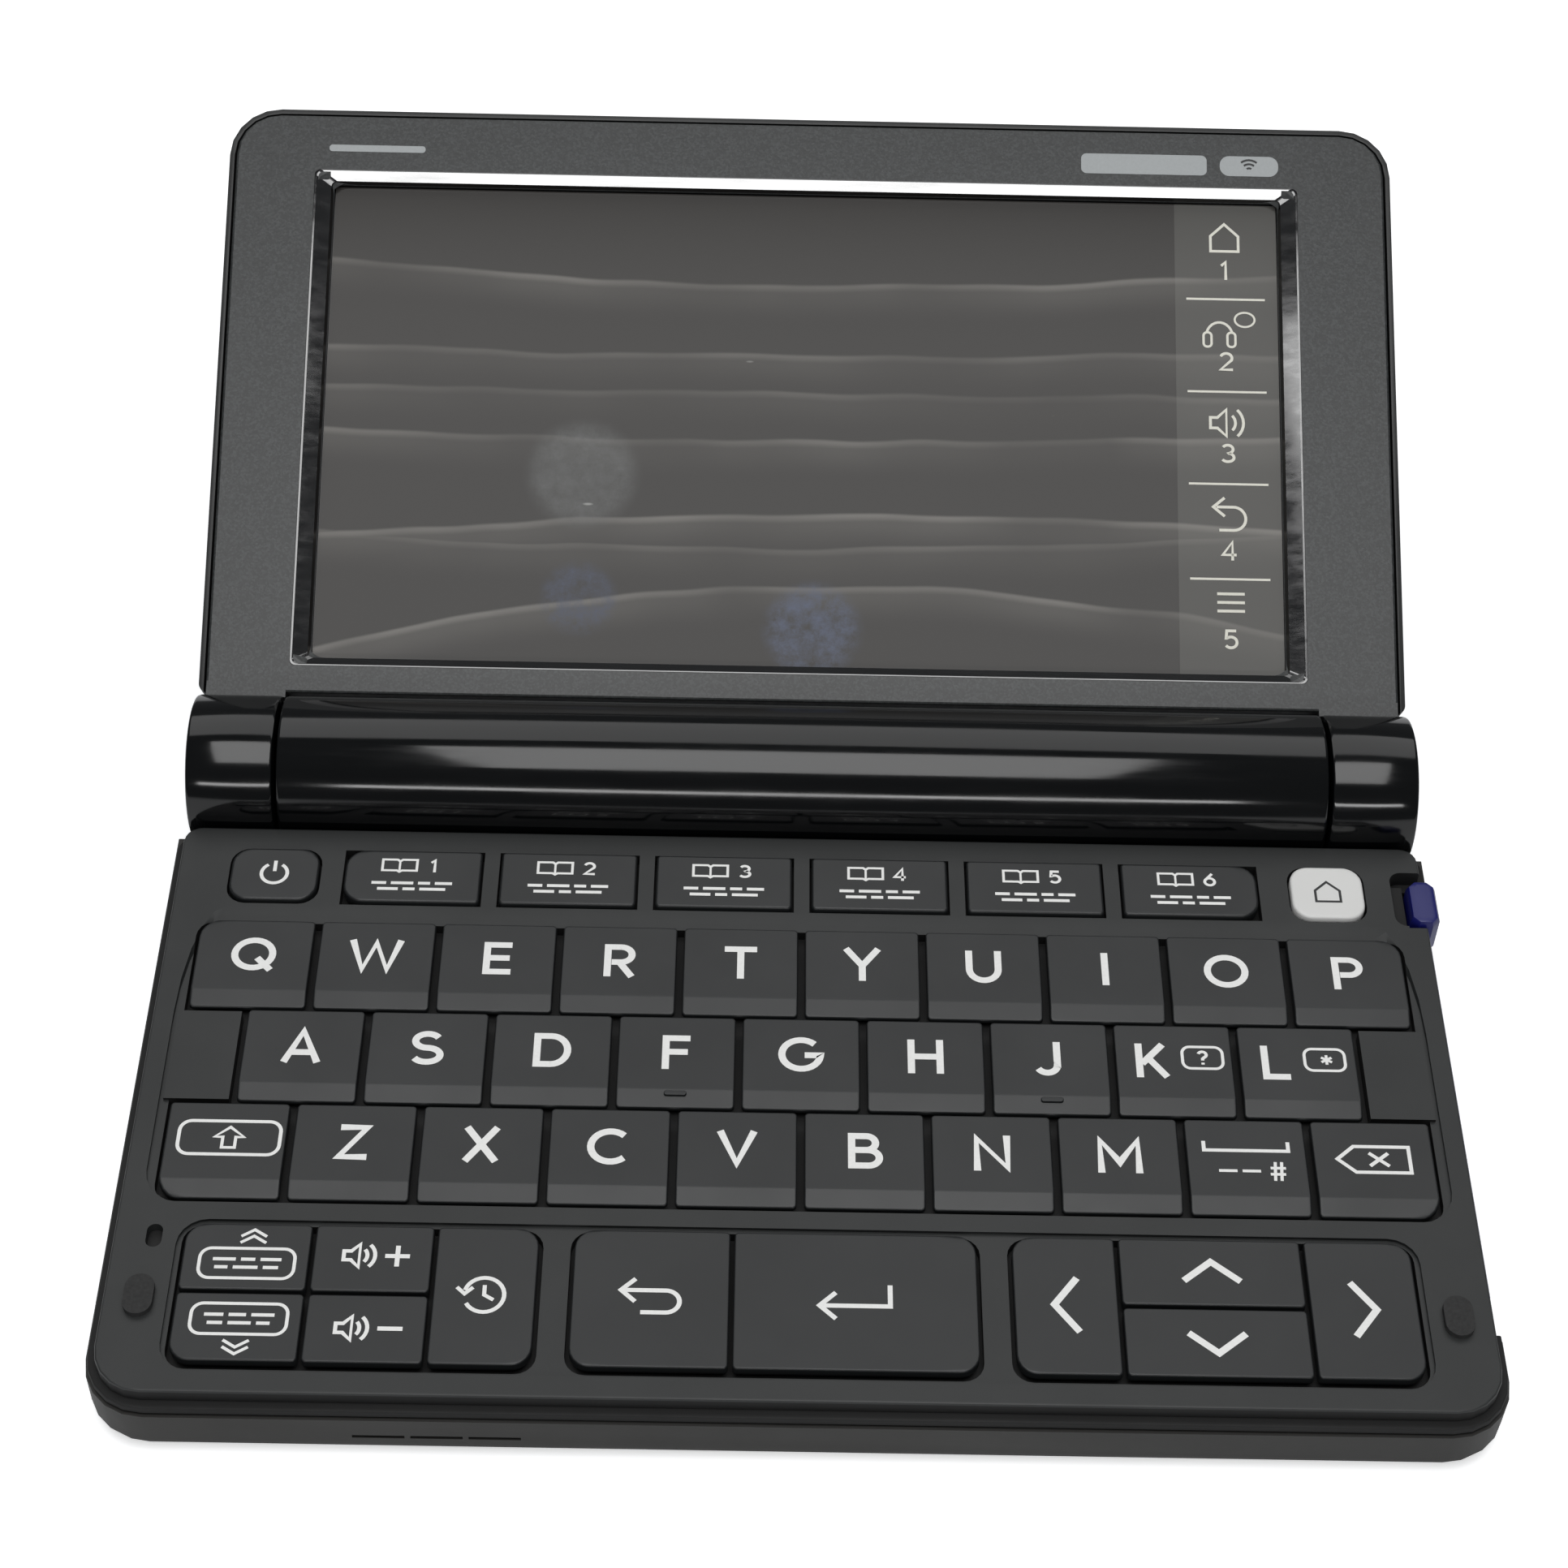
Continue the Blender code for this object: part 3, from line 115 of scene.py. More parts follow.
softbox("overhead_softbox", (0.0, -0.15, 0.62), (0.0, -0.15, 0.0), 0.56, 0.4, 2.4)
softbox("rear_wall", (0.0, 0.5, 0.75), (0.0, 0.0, 0.0), 1.3, 0.6, 3.0)
softbox("low_window", (0.0, -1.3, 0.6), (0.0, 0.1, 0.05), 1.6, 0.1, 4.0)

# The floor: a plain pale table, white where the camera, glass or metal sees it, with the object's shadow.
floor_mesh = bpy.data.meshes.new("floor")
floor_mesh.from_pydata([(-3, -3, -0.0004), (3, -3, -0.0004), (3, 3, -0.0004), (-3, 3, -0.0004)], [],
                       [(0, 1, 2, 3)])
floor = bpy.data.objects.new("floor", floor_mesh)
bpy.context.scene.collection.objects.link(floor)
pale_table = bpy.data.materials.new("pale_table")
pale_table.use_nodes = True
tree = pale_table.node_tree
tree.nodes.clear()
rays = add_node(tree, "ShaderNodeLightPath")
paint = add_node(tree, "ShaderNodeBsdfDiffuse", values=[("Color", linear("#f2f3f4"))])
glow = add_node(tree, "ShaderNodeEmission", values=[("Color", linear("#ffffff")), ("Strength", 0.55)])
both = add_node(tree, "ShaderNodeAddShader", links=[(0, paint.outputs[0]), (1, glow.outputs[0])])
seen = add_node(tree, "ShaderNodeMixShader", links=[(0, rays.outputs["Is Camera Ray"]), (1, paint.outputs[0]),
                                                    (2, both.outputs[0])])
add_node(tree, "ShaderNodeOutputMaterial", links=[("Surface", seen.outputs[0])])
floor_mesh.materials.append(pale_table)

# Deck and lower case: the two halves of the keyboard body, injection moulded from black ABS in a tool with a
# fine spark-eroded face, clamped together by screws. The deck has the contours and wells of the keys.


def blank_material(name):
    """New material with an empty tree, and in it the object's own coordinates, which are metres."""
    material = bpy.data.materials.new(name)
    material.use_nodes = True
    tree = material.node_tree
    tree.nodes.clear()
    return material, tree, add_node(tree, "ShaderNodeTexCoord").outputs["Object"]


def moulded_plastic(name, colour, worn, roughness, grain, depth):
    """Moulded ABS: a fine eroded grain as bump, and soft patches where hands have polished it a little.
    Grain is the real spacing in metres, drawn about twice as coarse so that it still shows."""
    material, tree, place = blank_material(name)
    patches = add_node(tree, "ShaderNodeTexNoise", links=[("Vector", place)],
                       values=[("Scale", 60.0), ("Detail", 4.0), ("Roughness", 0.6)])
    tint = add_node(tree, "ShaderNodeMix", links=[(0, patches.outputs["Fac"])], data_type="RGBA",
                    values=[(6, linear(colour)), (7, linear(worn))])
    gloss = add_node(tree, "ShaderNodeMapRange", links=[("Value", patches.outputs["Fac"])],
                     values=[("From Min", 0.3), ("From Max", 0.7), ("To Min", roughness + 0.04),
                             ("To Max", roughness - 0.04)])
    pits = add_node(tree, "ShaderNodeTexNoise", links=[("Vector", place)],
                    values=[("Scale", 1.0 / (2 * grain)), ("Detail", 2.0), ("Roughness", 0.7)])
    bump = add_node(tree, "ShaderNodeBump", links=[("Height", pits.outputs["Fac"])],
                    values=[("Strength", 1.0), ("Distance", depth)])
    shader = add_node(tree, "ShaderNodeBsdfPrincipled", values=[("IOR", 1.5)],
                      links=[("Base Color", tint.outputs[2]), ("Roughness", gloss.outputs[0]),
                             ("Normal", bump.outputs[0])])
    add_node(tree, "ShaderNodeOutputMaterial", links=[("Surface", shader.outputs[0])])
    return material


def shell_copy(node, edge, turn):
    """Copy of a CAD node: its loose triangles merged, its flats made whole again, and every edge that turns
    by more than the given degrees rounded over the given width in metres."""
    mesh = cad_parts[node].data.copy()
    mesh.name = node + "_skin"
    shell = bmesh.new()
    shell.from_mesh(mesh)
    bmesh.ops.remove_doubles(shell, verts=shell.verts, dist=1e-6)
    bmesh.ops.dissolve_limit(shell, angle_limit=math.radians(0.8), verts=shell.verts, edges=shell.edges)
    if edge:
        corners = [line for line in shell.edges
                   if line.is_manifold and line.calc_face_angle() > math.radians(turn)]
        bmesh.ops.bevel(shell, geom=corners, offset=edge, offset_type="OFFSET", segments=2, profile=0.5,
                        affect="EDGES", clamp_overlap=True)
    shell.to_mesh(mesh)
    shell.free()
    mesh.shade_smooth()
    mesh.set_sharp_from_angle(angle=math.radians(40))
    return mesh


def fit_piece(name, mesh, body, materials, node=None):
    """A piece on a body, with its materials; the CAD node that it stands for, if given, is hidden."""
    mesh.materials.clear()
    for material in materials:
        mesh.materials.append(material)
    piece = bpy.data.objects.new(name, mesh)
    bpy.context.scene.collection.objects.link(piece)
    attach(piece, body)
    if node:
        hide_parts(node)
    return piece


def even_normals(piece):
    """Shading that keeps broad flats flat, by the area of the faces round each corner."""
    weigh = piece.modifiers.new("even_normals", "WEIGHTED_NORMAL")
    weigh.keep_sharp = True


deck_abs = moulded_plastic("black_abs_eroded", "#1e2020", "#222424", 0.48, 0.00012, 0.000006)
case_abs = moulded_plastic("charcoal_abs_eroded", "#22211f", "#272624", 0.52, 0.00012, 0.000006)
even_normals(fit_piece("deck_moulding", shell_copy("top_case", 0.00012, 30), "base", [deck_abs], "top_case"))
even_normals(fit_piece("lower_case_moulding", shell_copy("bottom_case", 0.00015, 40), "base", [case_abs],
                       "bottom_case"))

# Battery barrel and its door: one long tube of gloss black ABS across the back, which is the hinge and holds
# the two cells. Polished tool faces give it a hard, mirror-like band from any lamp.


def gloss_plastic(name, colour, roughness, ripple):
    """Polished ABS: smooth, with a very low, long ripple from the mould and faint wiping marks."""
    material, tree, place = blank_material(name)
    along = add_node(tree, "ShaderNodeMapping", links=[("Vector", place)],
                     values=[("Scale", (0.1, 1.0, 1.0))])
    wipes = add_node(tree, "ShaderNodeTexNoise", links=[("Vector", along.outputs[0])],
                     values=[("Scale", 700.0), ("Detail", 5.0), ("Roughness", 0.65)])
    gloss = add_node(tree, "ShaderNodeMapRange", links=[("Value", wipes.outputs["Fac"])],
                     values=[("From Min", 0.3), ("From Max", 0.7), ("To Min", roughness - 0.03),
                             ("To Max", roughness + 0.05)])
    swell = add_node(tree, "ShaderNodeTexNoise", links=[("Vector", along.outputs[0])],
                     values=[("Scale", 180.0), ("Detail", 1.0)])
    bump = add_node(tree, "ShaderNodeBump", links=[("Height", swell.outputs["Fac"])],
                    values=[("Strength", 1.0), ("Distance", ripple)])
    shader = add_node(tree, "ShaderNodeBsdfPrincipled",
                      values=[("Base Color", linear(colour)), ("IOR", 1.52)],
                      links=[("Roughness", gloss.outputs[0]), ("Normal", bump.outputs[0])])
    add_node(tree, "ShaderNodeOutputMaterial", links=[("Surface", shader.outputs[0])])
    return material


barrel_gloss = gloss_plastic("polished_black_abs", "#060708", 0.1, 0.000006)
fit_piece("barrel_moulding", shell_copy("battery_barrel", 0.0, 40), "base", [barrel_gloss], "battery_barrel")
fit_piece("barrel_door_moulding", shell_copy("battery_door", 0.0001, 50), "battery_door", [barrel_gloss],
          "battery_door")

# Lid: a back cover with the two knuckles, and a front bezel painted dark grey with a fine metal fleck. The
# polished black slope round the window is part of the bezel's moulding.
LEAN = math.radians(29.2)
HINGE_Y = 0.0436
HINGE_Z = 0.0091


def lid_place(across, up, out):
    """Lid frame to world: across is x, up runs from the hinge axis along the lid, and out from its face."""
    across, up, out = np.broadcast_arrays(np.asarray(across, float), up, out)
    return np.stack([across, HINGE_Y + up * math.cos(LEAN) - out * math.sin(LEAN),
                     HINGE_Z + up * math.sin(LEAN) + out * math.cos(LEAN)], axis=-1)


def flecked_paint(name, colour, fleck, roughness):
    """Sprayed lacquer with metal flecks about 0.2 mm apart, drawn twice as coarse: each cell of a Voronoi
    pattern takes its own shade, and a fine orange peel bends the light."""
    material, tree, place = blank_material(name)
    cells = add_node(tree, "ShaderNodeTexVoronoi", links=[("Vector", place)], values=[("Scale", 4200.0)])
    shade = add_node(tree, "ShaderNodeSeparateColor", links=[(0, cells.outputs["Color"])])
    amount = add_node(tree, "ShaderNodeMapRange", links=[("Value", shade.outputs[0])],
                      values=[("From Min", 0.35), ("From Max", 1.0), ("To Min", 0.0), ("To Max", 0.55)])
    tint = add_node(tree, "ShaderNodeMix", links=[(0, amount.outputs[0])], data_type="RGBA",
                    values=[(6, linear(colour)), (7, linear(fleck))])
    peel = add_node(tree, "ShaderNodeTexNoise", links=[("Vector", place)],
                    values=[("Scale", 2200.0), ("Detail", 3.0), ("Roughness", 0.6)])
    bump = add_node(tree, "ShaderNodeBump", links=[("Height", peel.outputs["Fac"])],
                    values=[("Strength", 1.0), ("Distance", 0.00002)])
    shader = add_node(tree, "ShaderNodeBsdfPrincipled", values=[("Roughness", roughness), ("IOR", 1.5)],
                      links=[("Base Color", tint.outputs[2]), ("Normal", bump.outputs[0])])
    add_node(tree, "ShaderNodeOutputMaterial", links=[("Surface", shader.outputs[0])])
    return material


def face_centres(mesh):
    """Centres of a mesh's faces, one row each, to pick the faces that take another material."""
    centres = np.empty(len(mesh.polygons) * 3)
    mesh.polygons.foreach_get("center", centres)
    return centres.reshape(-1, 3)


KNUCKLE_REACH = 0.009
bezel_paint = flecked_paint("flecked_charcoal_lacquer", "#272929", "#454849", 0.38)
even_normals(fit_piece("lid_bezel_moulding", shell_copy("lid_bezel", 0.0001, 12), "lid", [bezel_paint],
                       "lid_bezel"))
lid_abs = moulded_plastic("lid_black_abs_eroded", "#1c1d1d", "#202121", 0.45, 0.00012, 0.000005)
cover_mesh = shell_copy("lid_back_cover", 0.00015, 40)
centres = face_centres(cover_mesh)
on_knuckle = np.hypot(centres[:, 1] - HINGE_Y, centres[:, 2] - HINGE_Z) < KNUCKLE_REACH
fit_piece("lid_cover_moulding", cover_mesh, "lid", [lid_abs, barrel_gloss], "lid_back_cover")
cover_mesh.polygons.foreach_set("material_index", on_knuckle.astype(np.int32))

# Keys: 48 moulded caps of black ABS, each with a flat top, a small round along the edges and a stem below.
# The letter keys fall away over their front 2.2 mm, which gives each row its pale strip.
RAISED_TOP = 0.0097
LOW_TOP = 0.0096
SKIRT_FOOT = 0.0085
STRIP_DEPTH = 0.0022
STRIP_DROP = 0.0007


def cap_mesh(name, low, high, top, corners, edge, ridge, drop):
    """Key cap as a height map over its plan, with the skirt and the stem as rings below it.
    Rows run front to rear and columns across; a row's ends follow the corner circles. The height is the top,
    less a ramp in front of the ridge, less edge - sqrt(edge^2 - (edge - distance)^2) near the outline."""
    rear_left, rear_right, front_left, front_right = corners
    turn = np.linspace(0, math.pi / 2, 6)
    round_steps = edge * np.array([0.0, 0.12, 0.35, 0.65, 1.0, 1.7])
    front_rows = np.concatenate([round_steps, max(front_left, front_right) * (1 - np.cos(turn))])
    rear_rows = np.concatenate([round_steps, max(rear_left, rear_right) * (1 - np.cos(turn))])
    rows = [low[1] + front_rows, high[1] - rear_rows, np.linspace(low[1], high[1], 6)[1:-1]]
    if drop:
        rows.append(low[1] + ridge + np.array([-0.00018, -0.00006, 0.00006, 0.00018]))
    y = np.unique(np.round(np.concatenate(rows), 6))
    width = high[0] - low[0]
    side = round_steps / width
    share = np.unique(np.round(np.concatenate([side, 1 - side, np.linspace(0, 1, 9)[1:-1]]), 5))

    def pull(radius_front, radius_rear):
        """How far a side draws in at each row to follow its two corner circles."""
        ahead = np.clip(low[1] + radius_front - y, 0, radius_front)
        behind = np.clip(y - high[1] + radius_rear, 0, radius_rear)
        return (radius_front - np.sqrt(radius_front ** 2 - ahead ** 2)
                + radius_rear - np.sqrt(radius_rear ** 2 - behind ** 2))

    left = low[0] + pull(front_left, rear_left)
    right = high[0] - pull(front_right, rear_right)
    x = left[:, None] + (right - left)[:, None] * share[None, :]
    depth_y = np.broadcast_to(y[:, None], x.shape)
    middle = (low + high) / 2
    radius = np.where(depth_y > middle[1], np.where(x < middle[0], rear_left, rear_right),
                      np.where(x < middle[0], front_left, front_right))
    reach_x = abs(x - middle[0]) - (width / 2 - radius)
    reach_y = abs(depth_y - middle[1]) - ((high[1] - low[1]) / 2 - radius)
    outside = np.hypot(np.maximum(reach_x, 0), np.maximum(reach_y, 0))
    distance = radius - outside - np.minimum(np.maximum(reach_x, reach_y), 0)
    near = edge - np.clip(distance, 0, edge)
    ramp = np.clip((low[1] + ridge - depth_y) / ridge, 0, 1) if drop else np.zeros_like(x)
    z = top - drop * ramp - (edge - np.sqrt(edge ** 2 - near ** 2))
    grid = np.stack([x, depth_y, z], axis=-1)
    count_y, count_x = x.shape
    order = np.arange(count_y * count_x).reshape(count_y, count_x)
    quads = np.stack([order[:-1, :-1], order[:-1, 1:], order[1:, 1:], order[1:, :-1]], axis=-1).reshape(-1, 4)
    rim = np.concatenate([order[0, :], order[1:, -1], order[-1, -2::-1], order[-2:0:-1, 0]])
    rim_points = grid.reshape(-1, 3)[rim]
    skirt = rim_points.copy()
    skirt[:, 2] = SKIRT_FOOT
    centre = np.array([middle[0], middle[1], 0.0])
    neck = centre + (skirt - centre) * (0.45, 0.45, 1.0)
    foot = neck.copy()
    foot[:, 2] = low[2]
    points = np.concatenate([grid.reshape(-1, 3), skirt, neck, foot])
    size = len(rim)
    start = count_y * count_x
    loops = [rim, start + np.arange(size), start + size + np.arange(size), start + 2 * size + np.arange(size)]
    bands = [np.stack([upper, lower, np.roll(lower, -1), np.roll(upper, -1)], axis=-1)
             for upper, lower in zip(loops, loops[1:])]
    faces = np.concatenate([quads, *bands]).tolist() + [loops[-1][::-1].tolist()]
    mesh = bpy.data.meshes.new(name)
    mesh.from_pydata(points.tolist(), [], faces)
    mesh.shade_smooth()
    mesh.set_sharp_from_angle(angle=math.radians(38))
    return mesh


# Keys of the letter block from left to right and rear to front, with the corners that are rounded more
LETTER_KEYS = ("q", "w", "e", "r", "t", "y", "u", "i", "o", "p", "a", "s", "d", "f", "g", "h", "j", "k", "l",
               "shift", "z", "x", "c", "v", "b", "n", "m", "symbols", "delete")
ROUNDED = {"q": (2.4, 0.5, 0.5, 0.5), "p": (0.5, 2.4, 0.5, 0.5), "shift": (0.5, 0.5, 2.4, 0.5),
           "delete": (0.5, 0.5, 0.5, 2.4), "dictionary_1": (2.4, 0.5, 2.4, 0.5),
           "dictionary_6": (0.5, 2.4, 0.5, 2.4), "power": (2.3, 2.3, 2.3, 2.3), "home": (2.3, 2.3, 2.3, 2.3),
           "previous": (2.2, 0.5, 0.5, 0.5), "next": (0.5, 0.5, 2.2, 0.5), "history": (0.5, 2.2, 0.5, 2.2),
           "back": (2.2, 0.5, 2.2, 0.5), "enter": (0.5, 2.2, 0.5, 2.2), "left": (2.2, 0.5, 2.2, 0.5),
           "right": (0.5, 2.2, 0.5, 2.2)}
key_abs = moulded_plastic("key_black_abs_satin", "#181a1b", "#1c1e1f", 0.4, 0.0001, 0.000004)
home_abs = moulded_plastic("home_key_pale_abs", "#d4d4d2", "#dcdcda", 0.4, 0.0001, 0.000003)
key_tops = {}
for node in sorted(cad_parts):
    if not node.startswith("key_"):
        continue
    key = node[4:]
    low, high = (np.array(corner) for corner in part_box(node))
    raised = key.startswith("dictionary") or key in ("power", "home")
    top = RAISED_TOP if raised else LOW_TOP
    sloped = key in LETTER_KEYS
    edge = 0.00035 if raised else 0.00022
    corners = np.array(ROUNDED.get(key, (0.5, 0.5, 0.5, 0.5))) * MM
    mesh = cap_mesh(node + "_cap", low, high, top, corners, edge, STRIP_DEPTH, STRIP_DROP if sloped else 0.0)
    fit_piece(node + "_cap", mesh, node, [home_abs if key == "home" else key_abs], node)
    if key in ("f", "j"):
        middle = (low[0] + high[0]) / 2
        nib = cap_mesh("nib_" + key, np.array([middle - 0.00125, low[1] + 0.0013, 0.0088]),
                       np.array([middle + 0.00125, low[1] + 0.0019, 0.0097]), 0.00969, np.full(4, 0.00028),
                       0.0001, 0.001, 0.0)
        fit_piece("nib_" + key, nib, node, [key_abs])
    front = low[1] + (STRIP_DEPTH if sloped else 0.0)
    key_tops[key] = ((low[0] + high[0]) / 2, (front + high[1]) / 2, top)

# Legends: white pad-printed ink on the caps, a few hundredths of a millimetre thick. The letters are a plain
# round sans of one stroke; the other keys have plain numbers and marks.


def arc(centre_x, centre_y, reach_x, reach_y, start, stop):
    """Points of an elliptic arc in millimetres, about one every 12 degrees."""
    angles = np.radians(np.linspace(start, stop, max(3, int(abs(stop - start) / 12) + 1)))
    return np.stack([centre_x + reach_x * np.cos(angles), centre_y + reach_y * np.sin(angles)], axis=-1)


def line(*points):
    """Points of a broken line in millimetres, where an entry may be an arc."""
    return np.concatenate([np.atleast_2d(np.asarray(point, float)) for point in points])


def ring(points):
    """The same points as a closed line, marked by its first point again at the end."""
    return np.concatenate([points, points[:1]])


def rounded_box(centre_x, centre_y, width, height, radius):
    """Closed outline of a box with round corners."""
    x = width / 2 - radius
    y = height / 2 - radius
    return ring(line(arc(centre_x + x, centre_y - y, radius, radius, -90, 0),
                     arc(centre_x + x, centre_y + y, radius, radius, 0, 90),
                     arc(centre_x - x, centre_y + y, radius, radius, 90, 180),
                     arc(centre_x - x, centre_y - y, radius, radius, 180, 270)))


def ink_mesh(name, strokes, to_world):
    """Flat ribbons: each point of a stroke is offset both ways by half the width along
    (n1 + n2) / (1 + n1.n2), with n1 and n2 the normals of the two legs that meet there, held to 1.7 half
    widths at sharp turns."""
    points = []
    faces = []
    for layer, (stroke, width) in enumerate(strokes):
        closed = np.allclose(stroke[0], stroke[-1])
        if closed:
            stroke = stroke[:-1]
        legs = np.roll(stroke, -1, axis=0) - stroke
        if not closed:
            legs[-1] = legs[-2]
        normal = np.stack([-legs[:, 1], legs[:, 0]], axis=-1) / np.linalg.norm(legs, axis=1)[:, None]
        before = np.roll(normal, 1, axis=0)
        if not closed:
            before[0] = normal[0]
        offset = (normal + before) / np.maximum(1 + (normal * before).sum(axis=1), 0.15)[:, None]
        length = np.linalg.norm(offset, axis=1)[:, None]
        offset = offset * np.minimum(1.7 / length, 1.0) * width / 2
        height = np.full(len(stroke), 0.015 + 0.002 * layer)
        start = sum(len(group) for group in points)
        points += [np.column_stack([stroke + offset, height]), np.column_stack([stroke - offset, height])]
        count = len(stroke)
        last = count if closed else count - 1
        here = np.arange(last)
        following = (here + 1) % count
        faces.append(start + np.stack([here + count, following + count, following, here], axis=-1))
    flat = np.concatenate(points) * MM
    mesh = bpy.data.meshes.new(name)
    mesh.from_pydata(to_world(flat).tolist(), [], np.concatenate(faces).tolist())
    return mesh


P_BOWL = line((-1.3, -0.4), (-1.3, 3.9), (0.2, 3.9), arc(0.2, 2.8, 1.25, 1.1, 90, -90), (-0.85, 1.7))
GLYPHS = {
    "a": [line((-1.85, -0.35), (0, 4.0), (1.85, -0.35)), line((-1.2, 1.05), (1.2, 1.05))],
    "b": [line((-1.4, 3.9), arc(0.2, 2.98, 1.0, 0.92, 90, -90), (-1.2, 2.05)),
          line((-1.4, -0.4), (-1.4, 4.3)),
          line((-1.2, 2.05), arc(0.4, 1.02, 1.2, 1.02, 90, -90), (-1.4, 0))],
    "c": [arc(0.15, 1.95, 2.15, 2.0, 47, 313)],
    "d": [ring(line((-1.65, 0), (-0.1, 0), arc(-0.1, 1.95, 1.85, 1.95, -90, 90), (-1.65, 3.9)))],
    "e": [line((1.6, 3.9), (-1.2, 3.9), (-1.2, 0), (1.6, 0)), line((-0.8, 2.0), (1.4, 2.0))],
    "f": [line((1.5, 3.9), (-1.2, 3.9), (-1.2, -0.4)), line((-0.8, 2.0), (1.25, 2.0))],
    "g": [line(arc(0, 1.95, 2.15, 2.0, 46, 352), (2.15, 1.85), (0.4, 1.85))],
    "h": [line((-1.6, -0.4), (-1.6, 4.3)), line((1.6, -0.4), (1.6, 4.3)), line((-1.2, 1.95), (1.2, 1.95))],
    "i": [line((0, -0.4), (0, 4.3))],
    "j": [line((0.8, 4.3), (0.8, 1.1), arc(-0.35, 1.1, 1.15, 1.1, 0, -150))],
    "k": [line((-1.4, -0.4), (-1.4, 4.3)), line((1.3, 4.2), (-1.1, 1.5)), line((-0.3, 2.2), (1.6, -0.3))],
    "l": [line((-1.2, 4.3), (-1.2, 0), (1.5, 0))],
    "m": [line((-2.05, -0.4), (-2.05, 3.9), (0, 1.0), (2.05, 3.9), (2.05, -0.4))],
    "n": [line((-1.65, -0.4), (-1.65, 3.9), (1.65, 0), (1.65, 4.3))],
    "o": [arc(0, 1.95, 2.15, 2.0, 0, 360)],
    "p": [P_BOWL],
    "q": [arc(0, 1.95, 2.15, 2.0, 0, 360), line((0.45, 1.4), (2.1, -0.35))],
    "r": [P_BOWL, line((0.1, 1.6), (1.5, -0.4))],
    "s": [line(arc(0, 2.93, 1.35, 0.97, 28, 270), arc(0, 0.98, 1.5, 0.98, 80, -152))],
    "t": [line((-1.85, 3.9), (1.85, 3.9)), line((0, 3.5), (0, -0.4))],
    "u": [line((-1.65, 4.3), (-1.65, 1.6), arc(0, 1.6, 1.65, 1.6, 190, 350), (1.65, 1.6), (1.65, 4.3))],
    "v": [line((-1.85, 4.3), (0, 0.0), (1.85, 4.3))],
    "w": [line((-2.75, 4.3), (-1.4, 0.0), (0, 3.9), (1.4, 0.0), (2.75, 4.3))],
    "x": [line((-1.65, 4.2), (1.65, -0.3)), line((1.65, 4.2), (-1.65, -0.3))],
    "y": [line((-1.85, 4.3), (0, 1.8), (1.85, 4.3)), line((0, 1.9), (0, -0.4))],
    "z": [line((-1.5, 3.9), (1.4, 3.9), (-1.45, 0), (1.6, 0))],
    "1": [line((-0.8, 3.0), (0.2, 3.9), (0.2, -0.4))],
    "2": [line(arc(0, 2.75, 1.3, 1.15, 160, -25), (-1.3, 0), (1.5, 0))],
    "3": [line(arc(0, 2.93, 1.2, 0.97, 150, -80), arc(0, 0.98, 1.4, 0.98, 80, -150))],
    "4": [line((0.7, -0.4), (0.7, 3.9), (-1.5, 0.9), (1.6, 0.9))],
    "5": [line((1.2, 3.9), (-0.9, 3.9), (-1.05, 2.2), arc(0, 1.25, 1.35, 1.25, 130, -145))],
    "6": [arc(0, 1.25, 1.35, 1.25, 0, 360), line((0.8, 4.1), (-1.1, 1.9))],
    "?": [line(arc(0, 3.0, 1.1, 1.0, 165, -60), (0, 1.6), (0, 1.0)), line((0, 0.25), (0, -0.4))],
    "*": [line((0, 0.6), (0, 3.3)), line((-1.2, 1.3), (1.2, 2.6)), line((-1.2, 2.6), (1.2, 1.3))],
    "#": [line((-0.6, -0.2), (-0.3, 4.1)), line((0.6, -0.2), (0.9, 4.1)), line((-1.4, 1.3), (1.5, 1.3)),
          line((-1.3, 2.7), (1.6, 2.7))]}


def glyph(name, centre_x, centre_y, height, stroke):
    """Strokes of a letter, number or sign, scaled to a height over all and centred at a place."""
    scale = height / 4.7
    return [((points - (0, 1.95)) * scale + (centre_x, centre_y), stroke) for points in GLYPHS[name]]


def chevron(centre_x, centre_y, reach_x, reach_y, turned):
    """Open arrow head that points up, down, left or right."""
    flat = line((-reach_x, -reach_y), (0, reach_y), (reach_x, -reach_y))
    if turned == "down":
        flat = flat * (1, -1)
    if turned in ("left", "right"):
        flat = np.stack([flat[:, 1] * (-1 if turned == "left" else 1), flat[:, 0]], axis=-1)
    return flat + (centre_x, centre_y)


def speaker(centre_x, centre_y, size):
    """Loudspeaker outline with two waves."""
    horn = ring(line((-1.5, -0.5), (-0.8, -0.5), (0, -1.3), (0, 1.3), (-0.8, 0.5), (-1.5, 0.5)))
    waves = [arc(0, 0, 0.75, 0.9, -50, 50), arc(0, 0, 1.5, 1.6, -50, 50)]
    return [(points * size + (centre_x, centre_y), 0.38 * size) for points in [horn, *waves]]


def book(centre_x, centre_y):
    """Open book outline with its fold."""
    pages = ring(line((-2.0, -0.8), (-0.3, -0.8), (0, -1.0), (0.3, -0.8), (2.0, -0.8), (2.0, 0.85),
                      (0.3, 0.85), (0, 0.6), (-0.3, 0.85), (-2.0, 0.85)))
    return [(pages + (centre_x, centre_y), 0.3), (line((0, -0.8), (0, 0.5)) + (centre_x, centre_y), 0.25)]


def dashes(centre_x, centre_y, lengths, stroke):
    """Row of short dashes with equal gaps."""
    total = sum(lengths) + 0.55 * (len(lengths) - 1)
    made = []
    start = centre_x - total / 2
    for length in lengths:
        made.append((line((start, centre_y), (start + length, centre_y)), stroke))
        start += length + 0.55
    return made


